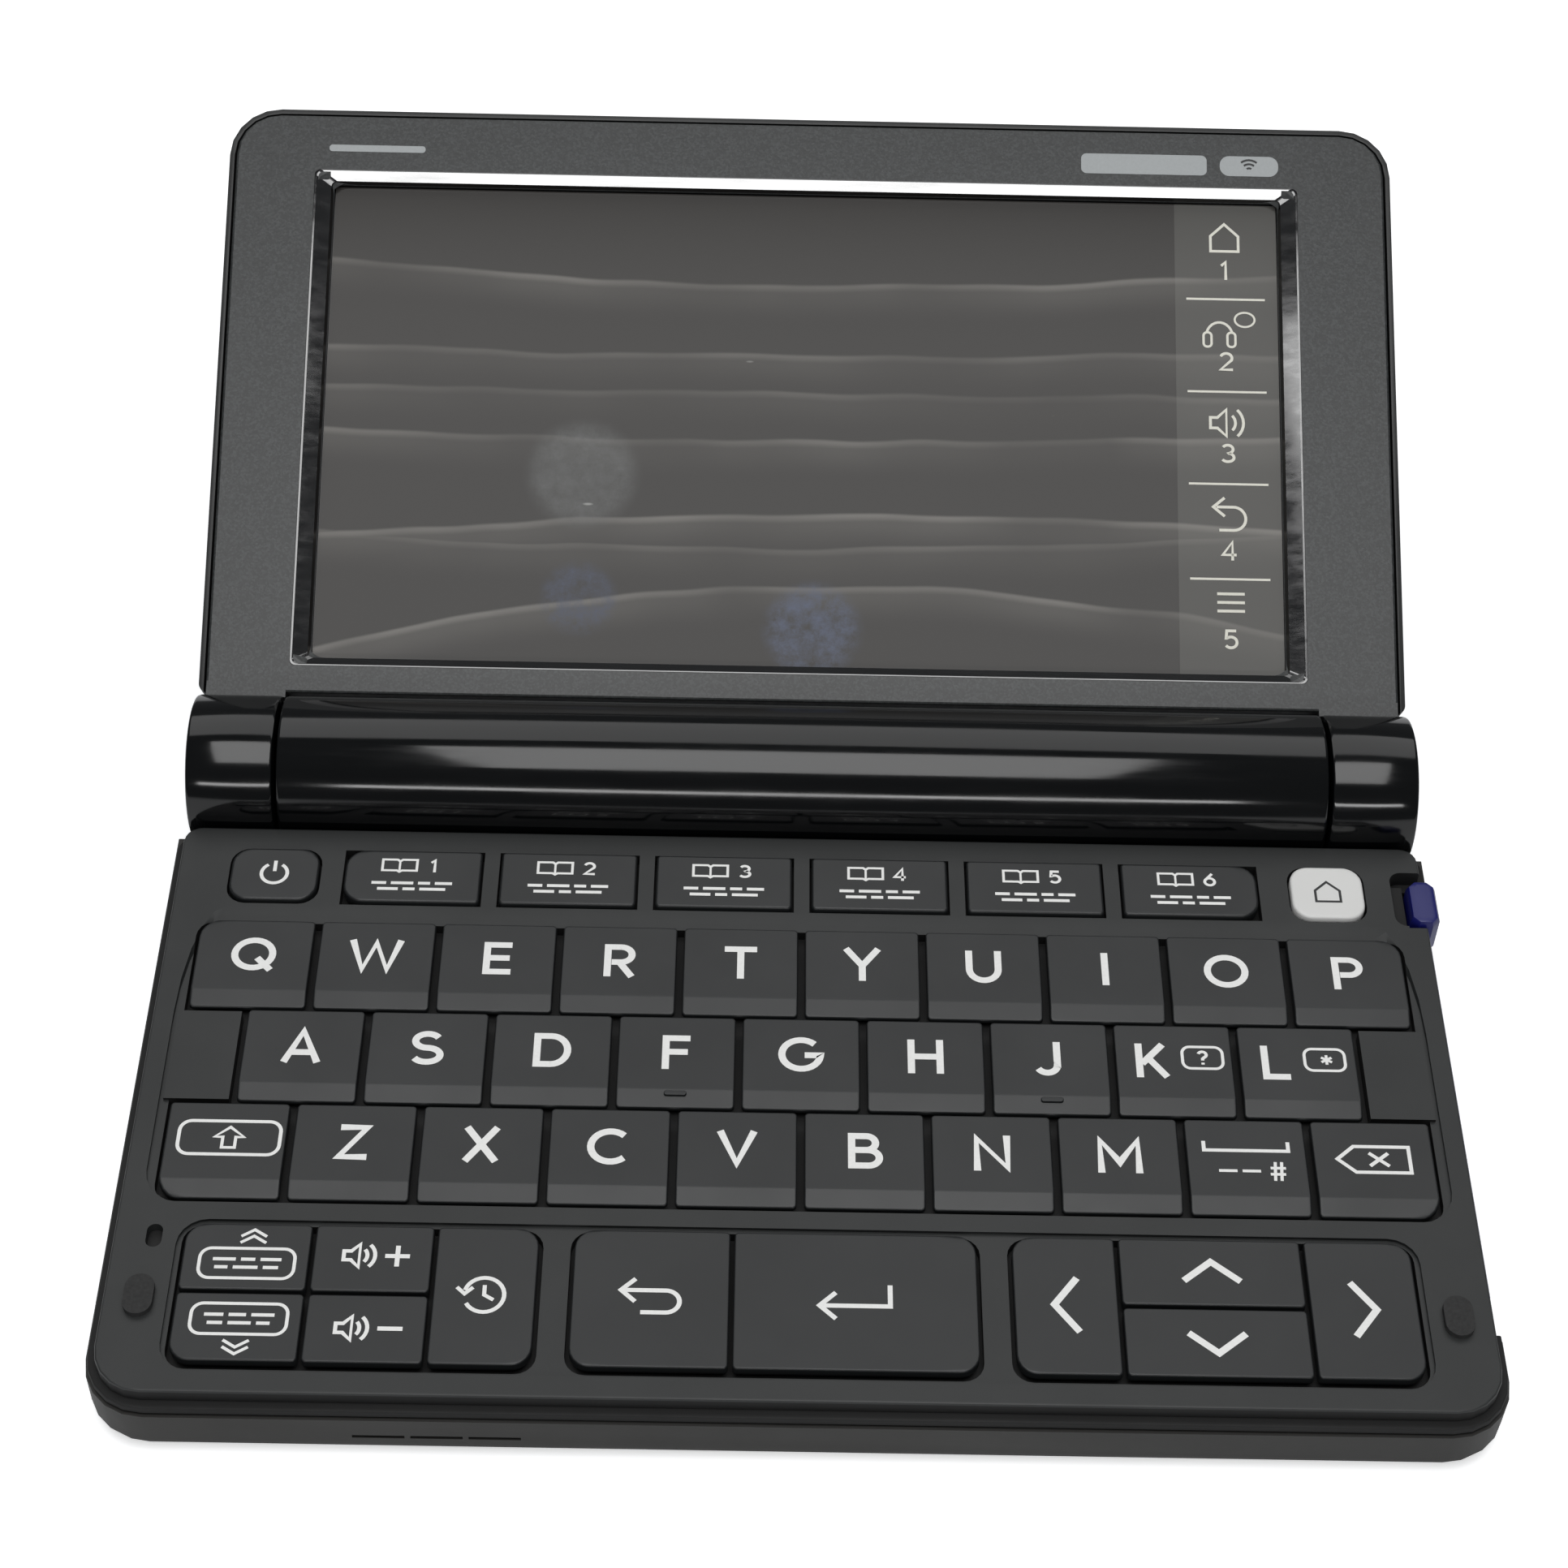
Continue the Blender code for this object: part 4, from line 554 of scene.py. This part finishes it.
def entry_mark(arrow_x, side, upper, lower):
    """Framed dashes with a double arrow head behind them where side is 1, or before them where it is -1."""
    turned = "up" if side > 0 else "down"
    return [(chevron(arrow_x, 2.9 * side, 1.35, 0.42, turned), 0.34),
            (chevron(arrow_x, 2.1 * side, 1.35, 0.42, turned), 0.34),
            (rounded_box(0.2, -0.9 * side, 10.0, 3.7, 1.2), 0.36),
            *dashes(0.2, 0.5 - 0.9 * side, upper, 0.4), *dashes(0.2, -0.5 - 0.9 * side, lower, 0.4)]


legends = {letter: glyph(letter, 0, 0, 4.7, 0.8) for letter in "qwertyuiopasdfghjzxcvbnm"}
legends["k"] = (glyph("k", -2.5, 0, 4.7, 0.8) + [(rounded_box(3.2, 0.5, 4.5, 3.0, 0.9), 0.34)]
                + glyph("?", 3.2, 0.5, 1.9, 0.36))
legends["l"] = (glyph("l", -2.5, 0, 4.7, 0.8) + [(rounded_box(3.0, 0.5, 4.5, 3.0, 0.9), 0.34)]
                + glyph("*", 3.2, 0.5, 2.3, 0.32))
legends["shift"] = [(rounded_box(0.4, 0.3, 11.0, 4.4, 1.3), 0.4),
                    (ring(line((-1.2, 0.4), (0.4, 1.7), (2.0, 0.4), (1.1, 0.4), (1.1, -1.0), (-0.3, -1.0),
                               (-0.3, 0.4))), 0.34)]
legends["symbols"] = [(line((-4.6, 2.1), (-4.6, 0.9), (4.6, 0.9), (4.6, 2.1)), 0.42),
                      *glyph("#", 3.2, -1.8, 2.7, 0.34), *dashes(-0.9, -1.8, (2.0, 2.0), 0.36)]
legends["delete"] = [(ring(line((-4.0, 0), (-2.1, 1.7), (3.9, 1.7), (3.9, -1.7), (-2.1, -1.7))), 0.42),
                     (line((-0.5, -0.85), (1.6, 0.85)), 0.42), (line((-0.5, 0.85), (1.6, -0.85)), 0.42)]
for number in "123456":
    legends["dictionary_" + number] = (book(-1.6, 1.55) + glyph(number, 2.4, 1.55, 2.0, 0.34)
                                       + dashes(0, -1.15, (1.7, 2.6, 1.4, 2.0), 0.42)
                                       + dashes(0, -2.05, (2.4, 1.4, 3.0), 0.42))
legends["power"] = [(arc(0, 0, 1.5, 1.5, 122, 418), 0.42), (line((0, 0.3), (0, 1.9)), 0.42)]
HOUSE = ring(line((-1.25, -1.3), (1.25, -1.3), (1.25, 0.2), (0, 1.4), (-1.25, 0.2)))
legends["home"] = [(HOUSE * (1.15, 1.1), 0.3)]
legends["previous"] = entry_mark(0.6, 1, (2.4, 1.5, 2.2), (1.4, 2.6, 1.6))
legends["next"] = entry_mark(0.2, -1, (2.0, 1.8, 2.4), (1.6, 2.4, 1.4))
legends["volume_up"] = [*speaker(-1.4, 0.3, 1.1), (line((1.3, 0.3), (3.9, 0.3)), 0.5),
                        (line((2.6, -1.0), (2.6, 0.05)), 0.5), (line((2.6, 0.55), (2.6, 1.6)), 0.5)]
legends["volume_down"] = [*speaker(-1.4, 0, 1.1), (line((1.3, 0), (3.9, 0)), 0.5)]
legends["history"] = [(arc(0, 0, 2.1, 2.1, -150, 165), 0.45), (line((0, 1.2), (0, 0), (1.0, -0.6)), 0.42),
                      (line((-2.9, 0.9), (-2.05, 0.1), (-1.2, 0.9)), 0.42)]
legends["back"] = [(line((-2.9, 0.9), (1.6, 0.9), arc(1.6, -0.45, 1.45, 1.35, 80, -90), (-1.0, -1.8)), 0.5),
                   (line((-1.6, 2.3), (-3.1, 0.9), (-1.6, -0.5)), 0.5)]
legends["enter"] = [(line((3.6, 2.0), (3.6, -0.6), (-3.6, -0.6)), 0.52),
                    (line((-2.1, 1.0), (-3.8, -0.6), (-2.1, -2.2)), 0.52)]
legends["left"] = [(chevron(0, 0, 3.3, 1.25, "left"), 0.75)]
legends["right"] = [(chevron(0, 0, 3.3, 1.25, "right"), 0.75)]
legends["up"] = [(chevron(0, 0.1, 3.0, 1.2, "up"), 0.75)]
legends["down"] = [(chevron(0, -0.1, 3.0, 1.2, "down"), 0.75)]


def printing_ink(name, colour):
    """Pad-printing ink: matt, a little uneven in its cover, with a faint screen of thin spots."""
    material, tree, place = blank_material(name)
    cover = add_node(tree, "ShaderNodeTexNoise", links=[("Vector", place)],
                     values=[("Scale", 3000.0), ("Detail", 3.0)])
    thin = tuple(channel * 0.86 for channel in linear(colour)[:3]) + (1.0,)
    tint = add_node(tree, "ShaderNodeMix", links=[(0, cover.outputs["Fac"])], data_type="RGBA",
                    values=[(6, thin), (7, linear(colour))])
    shader = add_node(tree, "ShaderNodeBsdfPrincipled", values=[("Roughness", 0.55), ("IOR", 1.5)],
                      links=[("Base Color", tint.outputs[2])])
    add_node(tree, "ShaderNodeOutputMaterial", links=[("Surface", shader.outputs[0])])
    return material


white_ink = printing_ink("white_pad_ink", "#f4f4f2")
dark_ink = printing_ink("dark_pad_ink", "#2a2b2c")
for key, strokes in legends.items():
    centre_x, centre_y, top = key_tops[key]
    place = np.array([centre_x, centre_y, top])
    mesh = ink_mesh("legend_" + key, strokes, lambda flat: flat + place)
    fit_piece("legend_" + key, mesh, "key_" + key, [dark_ink if key == "home" else white_ink])

# Screen: a dark touch panel under a resistive film, with a painted highlight along its long ripples, finger
# smudges and lint. A paler strip of touch marks is printed at its right side.


# Painted highlights along the film's ripples: height, middle, bend and strength of each curve
PAINTED_RIPPLE_HIGHLIGHTS = ((64.4, -3.0, 0.0007, 0.55), (54.9, -20.0, 0.00025, 0.4), (49.9, -30.0, 0.0001, 0.3),
           (43.7, -20.0, 0.0003, 0.5), (34.4, 20.0, -0.0006, 0.75), (29.7, -15.0, 0.0006, 0.4),
           (25.0, 8.0, -0.0019, 0.6))
SMUDGES = ((-27.7, 39.0, 8.0, 0.4, "#808282", 0.8), (-27.7, 23.0, 5.5, 0.8, "#4a5165", 2.2),
           (1.0, 19.5, 7.0, 1.0, "#565e74", 2.2))


def film_material(name, colour, ripple, haze):
    """Resistive film over glass. Each ripple is a painted highlight mixed into the colour along a curve
    up = height + bend (across - middle)^2, bright on its upper edge and fading over 5 mm below it. Smudges
    are soft balls of haze, broken up by noise, and lint is where a stretched Voronoi cell is very near its
    centre."""
    material, tree, place = blank_material(name)
    in_lid = add_node(tree, "ShaderNodeMapping", links=[("Vector", place)], vector_type="TEXTURE",
                      values=[("Location", (0.0, HINGE_Y, HINGE_Z)), ("Rotation", (LEAN, 0.0, 0.0)),
                              ("Scale", (MM, MM, MM))]).outputs[0]
    wobble = add_node(tree, "ShaderNodeTexNoise", links=[("Vector", in_lid)],
                      values=[("Scale", 0.06), ("Detail", 1.0)])
    axes = add_node(tree, "ShaderNodeSeparateXYZ", links=[(0, in_lid)])
    lifted = add_node(tree, "ShaderNodeMath", operation="MULTIPLY_ADD", values=[(1, 1.6)],
                      links=[(0, wobble.outputs["Fac"]), (2, axes.outputs["Y"])])
    glow = None
    for height, middle, bend, strength in PAINTED_RIPPLE_HIGHLIGHTS:
        offset = add_node(tree, "ShaderNodeMath", operation="SUBTRACT", links=[(0, axes.outputs["X"])],
                          values=[(1, middle)])
        square = add_node(tree, "ShaderNodeMath", operation="MULTIPLY",
                          links=[(0, offset.outputs[0]), (1, offset.outputs[0])])
        curve = add_node(tree, "ShaderNodeMath", operation="MULTIPLY_ADD", links=[(0, square.outputs[0])],
                         values=[(1, bend), (2, height + 0.8)])
        below = add_node(tree, "ShaderNodeMath", operation="SUBTRACT",
                         links=[(0, curve.outputs[0]), (1, lifted.outputs[0])])
        tail = add_node(tree, "ShaderNodeMapRange", links=[("Value", below.outputs[0])],
                        interpolation_type="SMOOTHERSTEP",
                        values=[("From Min", 0.0), ("From Max", 5.5), ("To Min", 0.35), ("To Max", 0.0)])
        crest = add_node(tree, "ShaderNodeMapRange", links=[("Value", below.outputs[0])],
                         interpolation_type="SMOOTHSTEP",
                         values=[("From Min", 0.1), ("From Max", 1.0), ("To Min", 0.65), ("To Max", 0.0)])
        edge = add_node(tree, "ShaderNodeMapRange", links=[("Value", below.outputs[0])],
                        interpolation_type="SMOOTHSTEP",
                        values=[("From Min", -0.35), ("From Max", 0.1), ("To Max", strength)])
        body = add_node(tree, "ShaderNodeMath", operation="ADD", links=[(0, tail.outputs[0]),
                                                                        (1, crest.outputs[0])])
        painted_ripple_highlight = add_node(tree, "ShaderNodeMath", operation="MULTIPLY",
                          links=[(0, body.outputs[0]), (1, edge.outputs[0])]).outputs[0]
        glow = painted_ripple_highlight if glow is None else add_node(tree, "ShaderNodeMath", operation="MAXIMUM",
                                                    links=[(0, glow), (1, painted_ripple_highlight)]).outputs[0]
    cloud = add_node(tree, "ShaderNodeTexNoise", links=[("Vector", in_lid)],
                     values=[("Scale", 0.035), ("Detail", 2.0)])
    fade = add_node(tree, "ShaderNodeMapRange", links=[("Value", cloud.outputs["Fac"])],
                    values=[("From Min", 0.35), ("From Max", 0.6), ("To Min", 0.35), ("To Max", 1.0)])
    amount = add_node(tree, "ShaderNodeMath", operation="MULTIPLY", links=[(0, glow), (1, fade.outputs[0])])
    # Painted highlight: the ripple colour is mixed into the film's own colour along each ripple
    colour_now = add_node(tree, "ShaderNodeMix", links=[(0, amount.outputs[0])], data_type="RGBA",
                          values=[(6, linear(colour)), (7, linear(ripple))]).outputs[2]
    for across, upward, radius, strength, shade, broken in SMUDGES if haze else ():
        spot = add_node(tree, "ShaderNodeMapping", links=[("Vector", in_lid)], vector_type="TEXTURE",
                        values=[("Location", (across, upward, -2.9)), ("Scale", (radius, radius, radius))])
        ball = add_node(tree, "ShaderNodeTexGradient", links=[("Vector", spot.outputs[0])],
                        gradient_type="SPHERICAL")
        grease = add_node(tree, "ShaderNodeTexNoise", links=[("Vector", in_lid)],
                          values=[("Scale", 0.6), ("Detail", 5.0), ("Roughness", 0.7)])
        soft = add_node(tree, "ShaderNodeMapRange", links=[("Value", ball.outputs["Fac"])],
                        values=[("From Min", 0.03), ("From Max", 0.4), ("To Max", strength)],
                        interpolation_type="SMOOTHSTEP")
        gaps = add_node(tree, "ShaderNodeMapRange", links=[("Value", grease.outputs["Fac"])],
                        values=[("From Min", 0.5 - 0.4 / broken), ("From Max", 0.75)])
        dab = add_node(tree, "ShaderNodeMath", operation="MULTIPLY",
                       links=[(0, soft.outputs[0]), (1, gaps.outputs[0])])
        colour_now = add_node(tree, "ShaderNodeMix", links=[(0, dab.outputs[0]), (6, colour_now)],
                              data_type="RGBA", values=[(7, linear(shade))]).outputs[2]
    stretched = add_node(tree, "ShaderNodeMapping", links=[("Vector", in_lid)],
                         values=[("Rotation", (0.0, 0.0, 0.6)), ("Scale", (0.06, 0.22, 0.1))])
    lint = add_node(tree, "ShaderNodeTexVoronoi", links=[("Vector", stretched.outputs[0])],
                    values=[("Scale", 1.0)])
    fleck = add_node(tree, "ShaderNodeMapRange", links=[("Value", lint.outputs["Distance"])],
                     values=[("From Min", 0.05), ("From Max", 0.03), ("To Max", 0.5)])
    tint = add_node(tree, "ShaderNodeMix", links=[(0, fleck.outputs[0]), (6, colour_now)], data_type="RGBA",
                    values=[(7, linear("#b8b8b4"))])
    shader = add_node(tree, "ShaderNodeBsdfPrincipled",
                      values=[("Roughness", 0.14), ("IOR", 1.5), ("Specular IOR Level", 0.2)],
                      links=[("Base Color", tint.outputs[2])])
    add_node(tree, "ShaderNodeOutputMaterial", links=[("Surface", shader.outputs[0])])
    return material


def lid_patch(name, left, right, bottom, top, out, columns, rows):
    """Flat grid of quads in the lid's plane, facing the reader."""
    across, upward = np.meshgrid(np.linspace(left, right, columns + 1), np.linspace(bottom, top, rows + 1))
    points = lid_place(across, upward, out).reshape(-1, 3)
    order = np.arange((columns + 1) * (rows + 1)).reshape(rows + 1, columns + 1)
    quads = np.stack([order[:-1, :-1], order[:-1, 1:], order[1:, 1:], order[1:, :-1]], axis=-1).reshape(-1, 4)
    mesh = bpy.data.meshes.new(name)
    mesh.from_pydata(points.tolist(), [], quads.tolist())
    return mesh


FILM_LEFT = -0.05995
FILM_RIGHT = 0.05895
STRIP_LEFT = 0.0461
FILM_LOW = 0.01475
FILM_HIGH = 0.0764
FILM_OUT = -0.00288
STRIP_OUT = -0.00287
panel_black = gloss_plastic("black_glass_border", "#0c0c0d", 0.05, 0.000001)
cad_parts["touch_panel"].data.materials.clear()
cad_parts["touch_panel"].data.materials.append(panel_black)
# The second colour of each film is the painted highlight of its ripples
film = film_material("touch_film", "#3b3937", "#8a8782", True)
strip_film = film_material("printed_touch_strip", "#52514e", "#8a8782", False)
fit_piece("screen_film", lid_patch("screen_film", FILM_LEFT, STRIP_LEFT, FILM_LOW, FILM_HIGH,
                                   FILM_OUT, 24, 14), "lid", [film])
fit_piece("touch_mark_strip", lid_patch("touch_mark_strip", STRIP_LEFT, FILM_RIGHT, FILM_LOW, FILM_HIGH,
                                        STRIP_OUT, 4, 14), "lid", [strip_film])

cream_ink = printing_ink("cream_pad_ink", "#e8e6da")
marks = []
for height in (63.7, 51.4, 39.3, 27.0):
    marks.append((line((47.5, height), (57.4, height)), 0.28))
marks.append((HOUSE * (1.4, 1.35) + (52.4, 71.9), 0.34))
marks += [(arc(51.6, 58.6, 1.7, 2.0, 20, 160), 0.32),
          (rounded_box(50.1, 58.3, 1.0, 1.9, 0.45), 0.3), (rounded_box(53.1, 58.3, 1.0, 1.9, 0.45), 0.3),
          (arc(54.8, 61.0, 1.25, 0.95, 0, 360), 0.26)]
marks += [(points * 1.25 + (52.3, 47.3), 0.36) for points in
          [ring(line((-1.6, -0.55), (-0.9, -0.55), (0, -1.4), (0, 1.4), (-0.9, 0.55), (-1.6, 0.55))),
           arc(0, 0, 0.9, 1.0, -50, 50), arc(0, 0, 1.7, 1.8, -50, 50)]]
marks += [(line((50.9, 36.3), (53.0, 36.3), arc(53.0, 34.8, 1.5, 1.5, 80, -90), (51.2, 33.3)), 0.36),
          (line((51.9, 37.5), (50.5, 36.3), (51.9, 35.1)), 0.36)]
marks += [(line((50.8, height), (54.2, height)), 0.36) for height in (25.1, 24.0, 22.9)]
for number, height in (("1", 67.6), ("2", 55.4), ("3", 43.3), ("4", 30.7), ("5", 19.3)):
    marks += glyph(number, 52.4, height, 2.6, 0.36)
mesh = ink_mesh("touch_marks", marks, lambda flat: lid_place(flat[:, 0], flat[:, 1], flat[:, 2] + STRIP_OUT))
fit_piece("touch_marks", mesh, "lid", [cream_ink])

# Window frame: the polished black slope from the bezel down to the glass, moulded with a shallow upper face,
# which throws the window's light back from its top side, and a steep wall below it.
WINDOW = np.array([-62.3, 61.3, 13.4, 77.9])
SCREEN = np.array([-60.05, 59.05, 14.65, 76.5])
PROFILE = ((-0.1, -1.06), (-0.04, -0.95), (0.06, -0.93), (0.86, -1.62), (0.97, -2.2), (1.0, -2.86))
loops = []
for share, out in PROFILE:
    left, right, bottom, top = WINDOW + share * (SCREEN - WINDOW)
    outline = rounded_box((left + right) / 2, (bottom + top) / 2, right - left, top - bottom, 0.7)[:-1]
    loops.append(lid_place(outline[:, 0] * MM, outline[:, 1] * MM, out * MM))
count = len(loops[0])
order = np.arange(len(loops) * count).reshape(len(loops), count)
after = np.roll(order, -1, axis=1)
quads = np.stack([order[:-1], after[:-1], after[1:], order[1:]], axis=-1).reshape(-1, 4)
frame_mesh = bpy.data.meshes.new("window_frame")
frame_mesh.from_pydata(np.concatenate(loops).tolist(), [], quads.tolist())
frame_gloss = gloss_plastic("polished_window_slope", "#060607", 0.07, 0.000001)
frame_gloss.node_tree.nodes["Principled BSDF"].inputs["IOR"].default_value = 2.2
fit_piece("window_frame", frame_mesh, "lid", [frame_gloss])

# Small plates on the bezel: two thin silver-grey printed pads, bare but for plain wireless arcs, and a plain
# silver bar at the left.


def filled_outline(name, outline, out):
    """Flat face inside a closed outline in the lid's plane, in millimetres, as a fan about its middle."""
    edge_points = outline[:-1]
    points = np.concatenate([edge_points, edge_points.mean(axis=0)[None, :]]) * MM
    count = len(edge_points)
    here = np.arange(count)
    fan = np.stack([here, (here + 1) % count, np.full(count, count)], axis=-1)
    mesh = bpy.data.meshes.new(name)
    mesh.from_pydata(lid_place(points[:, 0], points[:, 1], out).tolist(), [], fan.tolist())
    return mesh


silver_ink = printing_ink("silver_grey_ink", "#a9adae")
PLATE_OUT = -0.00097
PLATES = {"bezel_pad_wide": (42.1, 80.9, 15.9, 2.7, 0.7), "bezel_pad_small": (55.4, 80.9, 7.4, 2.7, 1.2),
          "bezel_bar": (-54.7, 80.9, 12.1, 0.9, 0.4)}
for name, box in PLATES.items():
    fit_piece(name, filled_outline(name, rounded_box(*box), PLATE_OUT), "lid", [silver_ink])
arcs = [(arc(55.4, 80.2, reach, reach, 50, 130), 0.26) for reach in (0.45, 1.0, 1.55)]
fit_piece("wireless_arcs", ink_mesh("wireless_arcs", arcs, lambda flat: lid_place(
    flat[:, 0], flat[:, 1], flat[:, 2] + PLATE_OUT)), "lid", [dark_ink])

# Rubber bumpers and feet: soft black pads pressed into the deck's front corners, where the closed lid lands,
# and round pads under the case. The deck's faces below its top, in the wells too, get a painted shade of dull
# black.


def rubber(name, colour):
    """Moulded rubber: dark and dull, with dust caught in a coarse grain."""
    material, tree, place = blank_material(name)
    dust = add_node(tree, "ShaderNodeTexNoise", links=[("Vector", place)],
                    values=[("Scale", 2500.0), ("Detail", 3.0)])
    tint = add_node(tree, "ShaderNodeMix", links=[(0, dust.outputs["Fac"])], data_type="RGBA",
                    values=[(6, linear(colour)), (7, linear("#303030"))])
    bump = add_node(tree, "ShaderNodeBump", links=[("Height", dust.outputs["Fac"])],
                    values=[("Strength", 1.0), ("Distance", 0.00003)])
    shader = add_node(tree, "ShaderNodeBsdfPrincipled", values=[("Roughness", 0.75), ("IOR", 1.52)],
                      links=[("Base Color", tint.outputs[2]), ("Normal", bump.outputs[0])])
    add_node(tree, "ShaderNodeOutputMaterial", links=[("Surface", shader.outputs[0])])
    return material


BUMPER_X = 0.0689
BUMPER_Y = -0.0311
ABOVE_DECK = 0.00922
PAINTED_SHADE_TOP = 0.0086
BELOW_CASE = -0.00002
FOOT_REACH = 0.0045
FEET = {"bottom_case_skin": (0.063, -0.0326), "battery_barrel_skin": (0.0575, 0.0436)}
pad_rubber = rubber("black_pad_rubber", "#0b0b0b")
# Painted shade: a near-black plastic on every deck face below this height, standing in for the shade in the
# wells, key gaps and ledge
painted_shade_black = moulded_plastic("painted_shade_well_abs", "#060606", "#080808", 0.7, 0.00012, 0.000006)
deck_mesh = bpy.data.meshes["top_case_skin"]
deck_mesh.materials.append(pad_rubber)
deck_mesh.materials.append(painted_shade_black)
centres = face_centres(deck_mesh)
on_pad = ((centres[:, 2] > ABOVE_DECK) & (abs(abs(centres[:, 0]) - BUMPER_X) < 0.0025)
          & (abs(centres[:, 1] - BUMPER_Y) < 0.0035))
# Faces that take the painted shade: all deck faces whose centre lies below the given height
in_painted_shade = centres[:, 2] < PAINTED_SHADE_TOP
deck_mesh.polygons.foreach_set("material_index", (on_pad + 2 * in_painted_shade).astype(np.int32))
for mesh_name, (foot_x, foot_y) in FEET.items():
    under = bpy.data.meshes[mesh_name]
    under.materials.append(pad_rubber)
    centres = face_centres(under)
    on_foot = ((centres[:, 2] < BELOW_CASE) & (abs(abs(centres[:, 0]) - foot_x) < FOOT_REACH)
               & (abs(centres[:, 1] - foot_y) < FOOT_REACH))
    under.polygons.foreach_set("material_index", on_foot.astype(np.int32))

# Case screws: small blackened steel pan heads with a cross recess, which clamp the two halves from below.


def screw_mesh(name, centre_x, centre_y):
    """Pan head as a height map over rings and spokes: a quarter-round rim, and a cross cut where the smaller
    of |x| and |y| is under 0.2 mm within 1.1 mm of the middle."""
    rim_radius = 1.3 + 0.3 * np.sin(np.linspace(0.2, 1.57, 6))
    radius = np.concatenate([[1e-6], np.linspace(0.1, 1.3, 16), rim_radius])
    angle = np.linspace(0, 2 * math.pi, 64, endpoint=False)
    x = radius[:, None] * np.cos(angle)
    y = radius[:, None] * np.sin(angle)
    rim = np.clip((radius[:, None] - 1.3) / 0.3, 0, 1)
    dome = 0.3 * np.sqrt(np.maximum(1 - rim ** 2, 0))
    cross = (np.minimum(abs(x), abs(y)) < 0.2) & (radius[:, None] < 1.1)
    height = np.where(cross, 0.08, dome)
    points = np.stack([centre_x + x * MM, centre_y + y * MM, -height * MM], axis=-1)
    order = np.arange(points.shape[0] * 64).reshape(-1, 64)
    after = np.roll(order, -1, axis=1)
    quads = np.stack([order[:-1], order[1:], after[1:], after[:-1]], axis=-1).reshape(-1, 4)
    mesh = bpy.data.meshes.new(name)
    mesh.from_pydata(points.reshape(-1, 3).tolist(), [], quads.tolist())
    mesh.shade_smooth()
    mesh.set_sharp_from_angle(angle=math.radians(35))
    return mesh


blackened, tree, place = blank_material("blackened_steel")
turned = add_node(tree, "ShaderNodeTexNoise", links=[("Vector", place)], values=[("Scale", 4000.0)])
gloss = add_node(tree, "ShaderNodeMapRange", links=[("Value", turned.outputs["Fac"])],
                 values=[("To Min", 0.3), ("To Max", 0.5)])
tint = add_node(tree, "ShaderNodeMix", links=[(0, turned.outputs["Fac"])], data_type="RGBA",
                values=[(6, linear("#3a3b3d")), (7, linear("#4b4c4e"))])
shader = add_node(tree, "ShaderNodeBsdfPrincipled", values=[("Metallic", 1.0)],
                  links=[("Base Color", tint.outputs[2]), ("Roughness", gloss.outputs[0])])
add_node(tree, "ShaderNodeOutputMaterial", links=[("Surface", shader.outputs[0])])
FRONT_Y = -0.0436
SCREWS = ((-58.3, 65.3), (-1.8, 65.3), (54.9, 65.3), (-1.8, 12.8))
for number, (across, along) in enumerate(SCREWS, 1):
    name = f"case_screw_{number}"
    fit_piece(name, screw_mesh(name, across * MM, along * MM + FRONT_Y), "base", [blackened])

# Stylus: a slim pen of blue ABS in the channel at the right edge, with a faceted head in the deck's notch.
stylus_blue = moulded_plastic("stylus_blue_abs", "#101358", "#171b6e", 0.3, 0.0002, 0.000003)
even_normals(fit_piece("stylus_pen", shell_copy("stylus", 0.00015, 25), "stylus", [stylus_blue], "stylus"))

# Hidden pieces: the display module behind the glass, the contact board under the keys and the two cells.
module_tin = gloss_plastic("tinned_module_frame", "#8d9092", 0.3, 0.000003)
board_green = moulded_plastic("green_solder_mask", "#1f4a2c", "#2a5a38", 0.4, 0.0003, 0.000003)
cell_sleeve = gloss_plastic("cell_sleeve_grey", "#7b7f83", 0.25, 0.000002)
for node, material in (("display_module", module_tin), ("contact_board", board_green),
                       ("battery_cell_left", cell_sleeve), ("battery_cell_right", cell_sleeve)):
    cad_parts[node].data.materials.clear()
    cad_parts[node].data.materials.append(material)
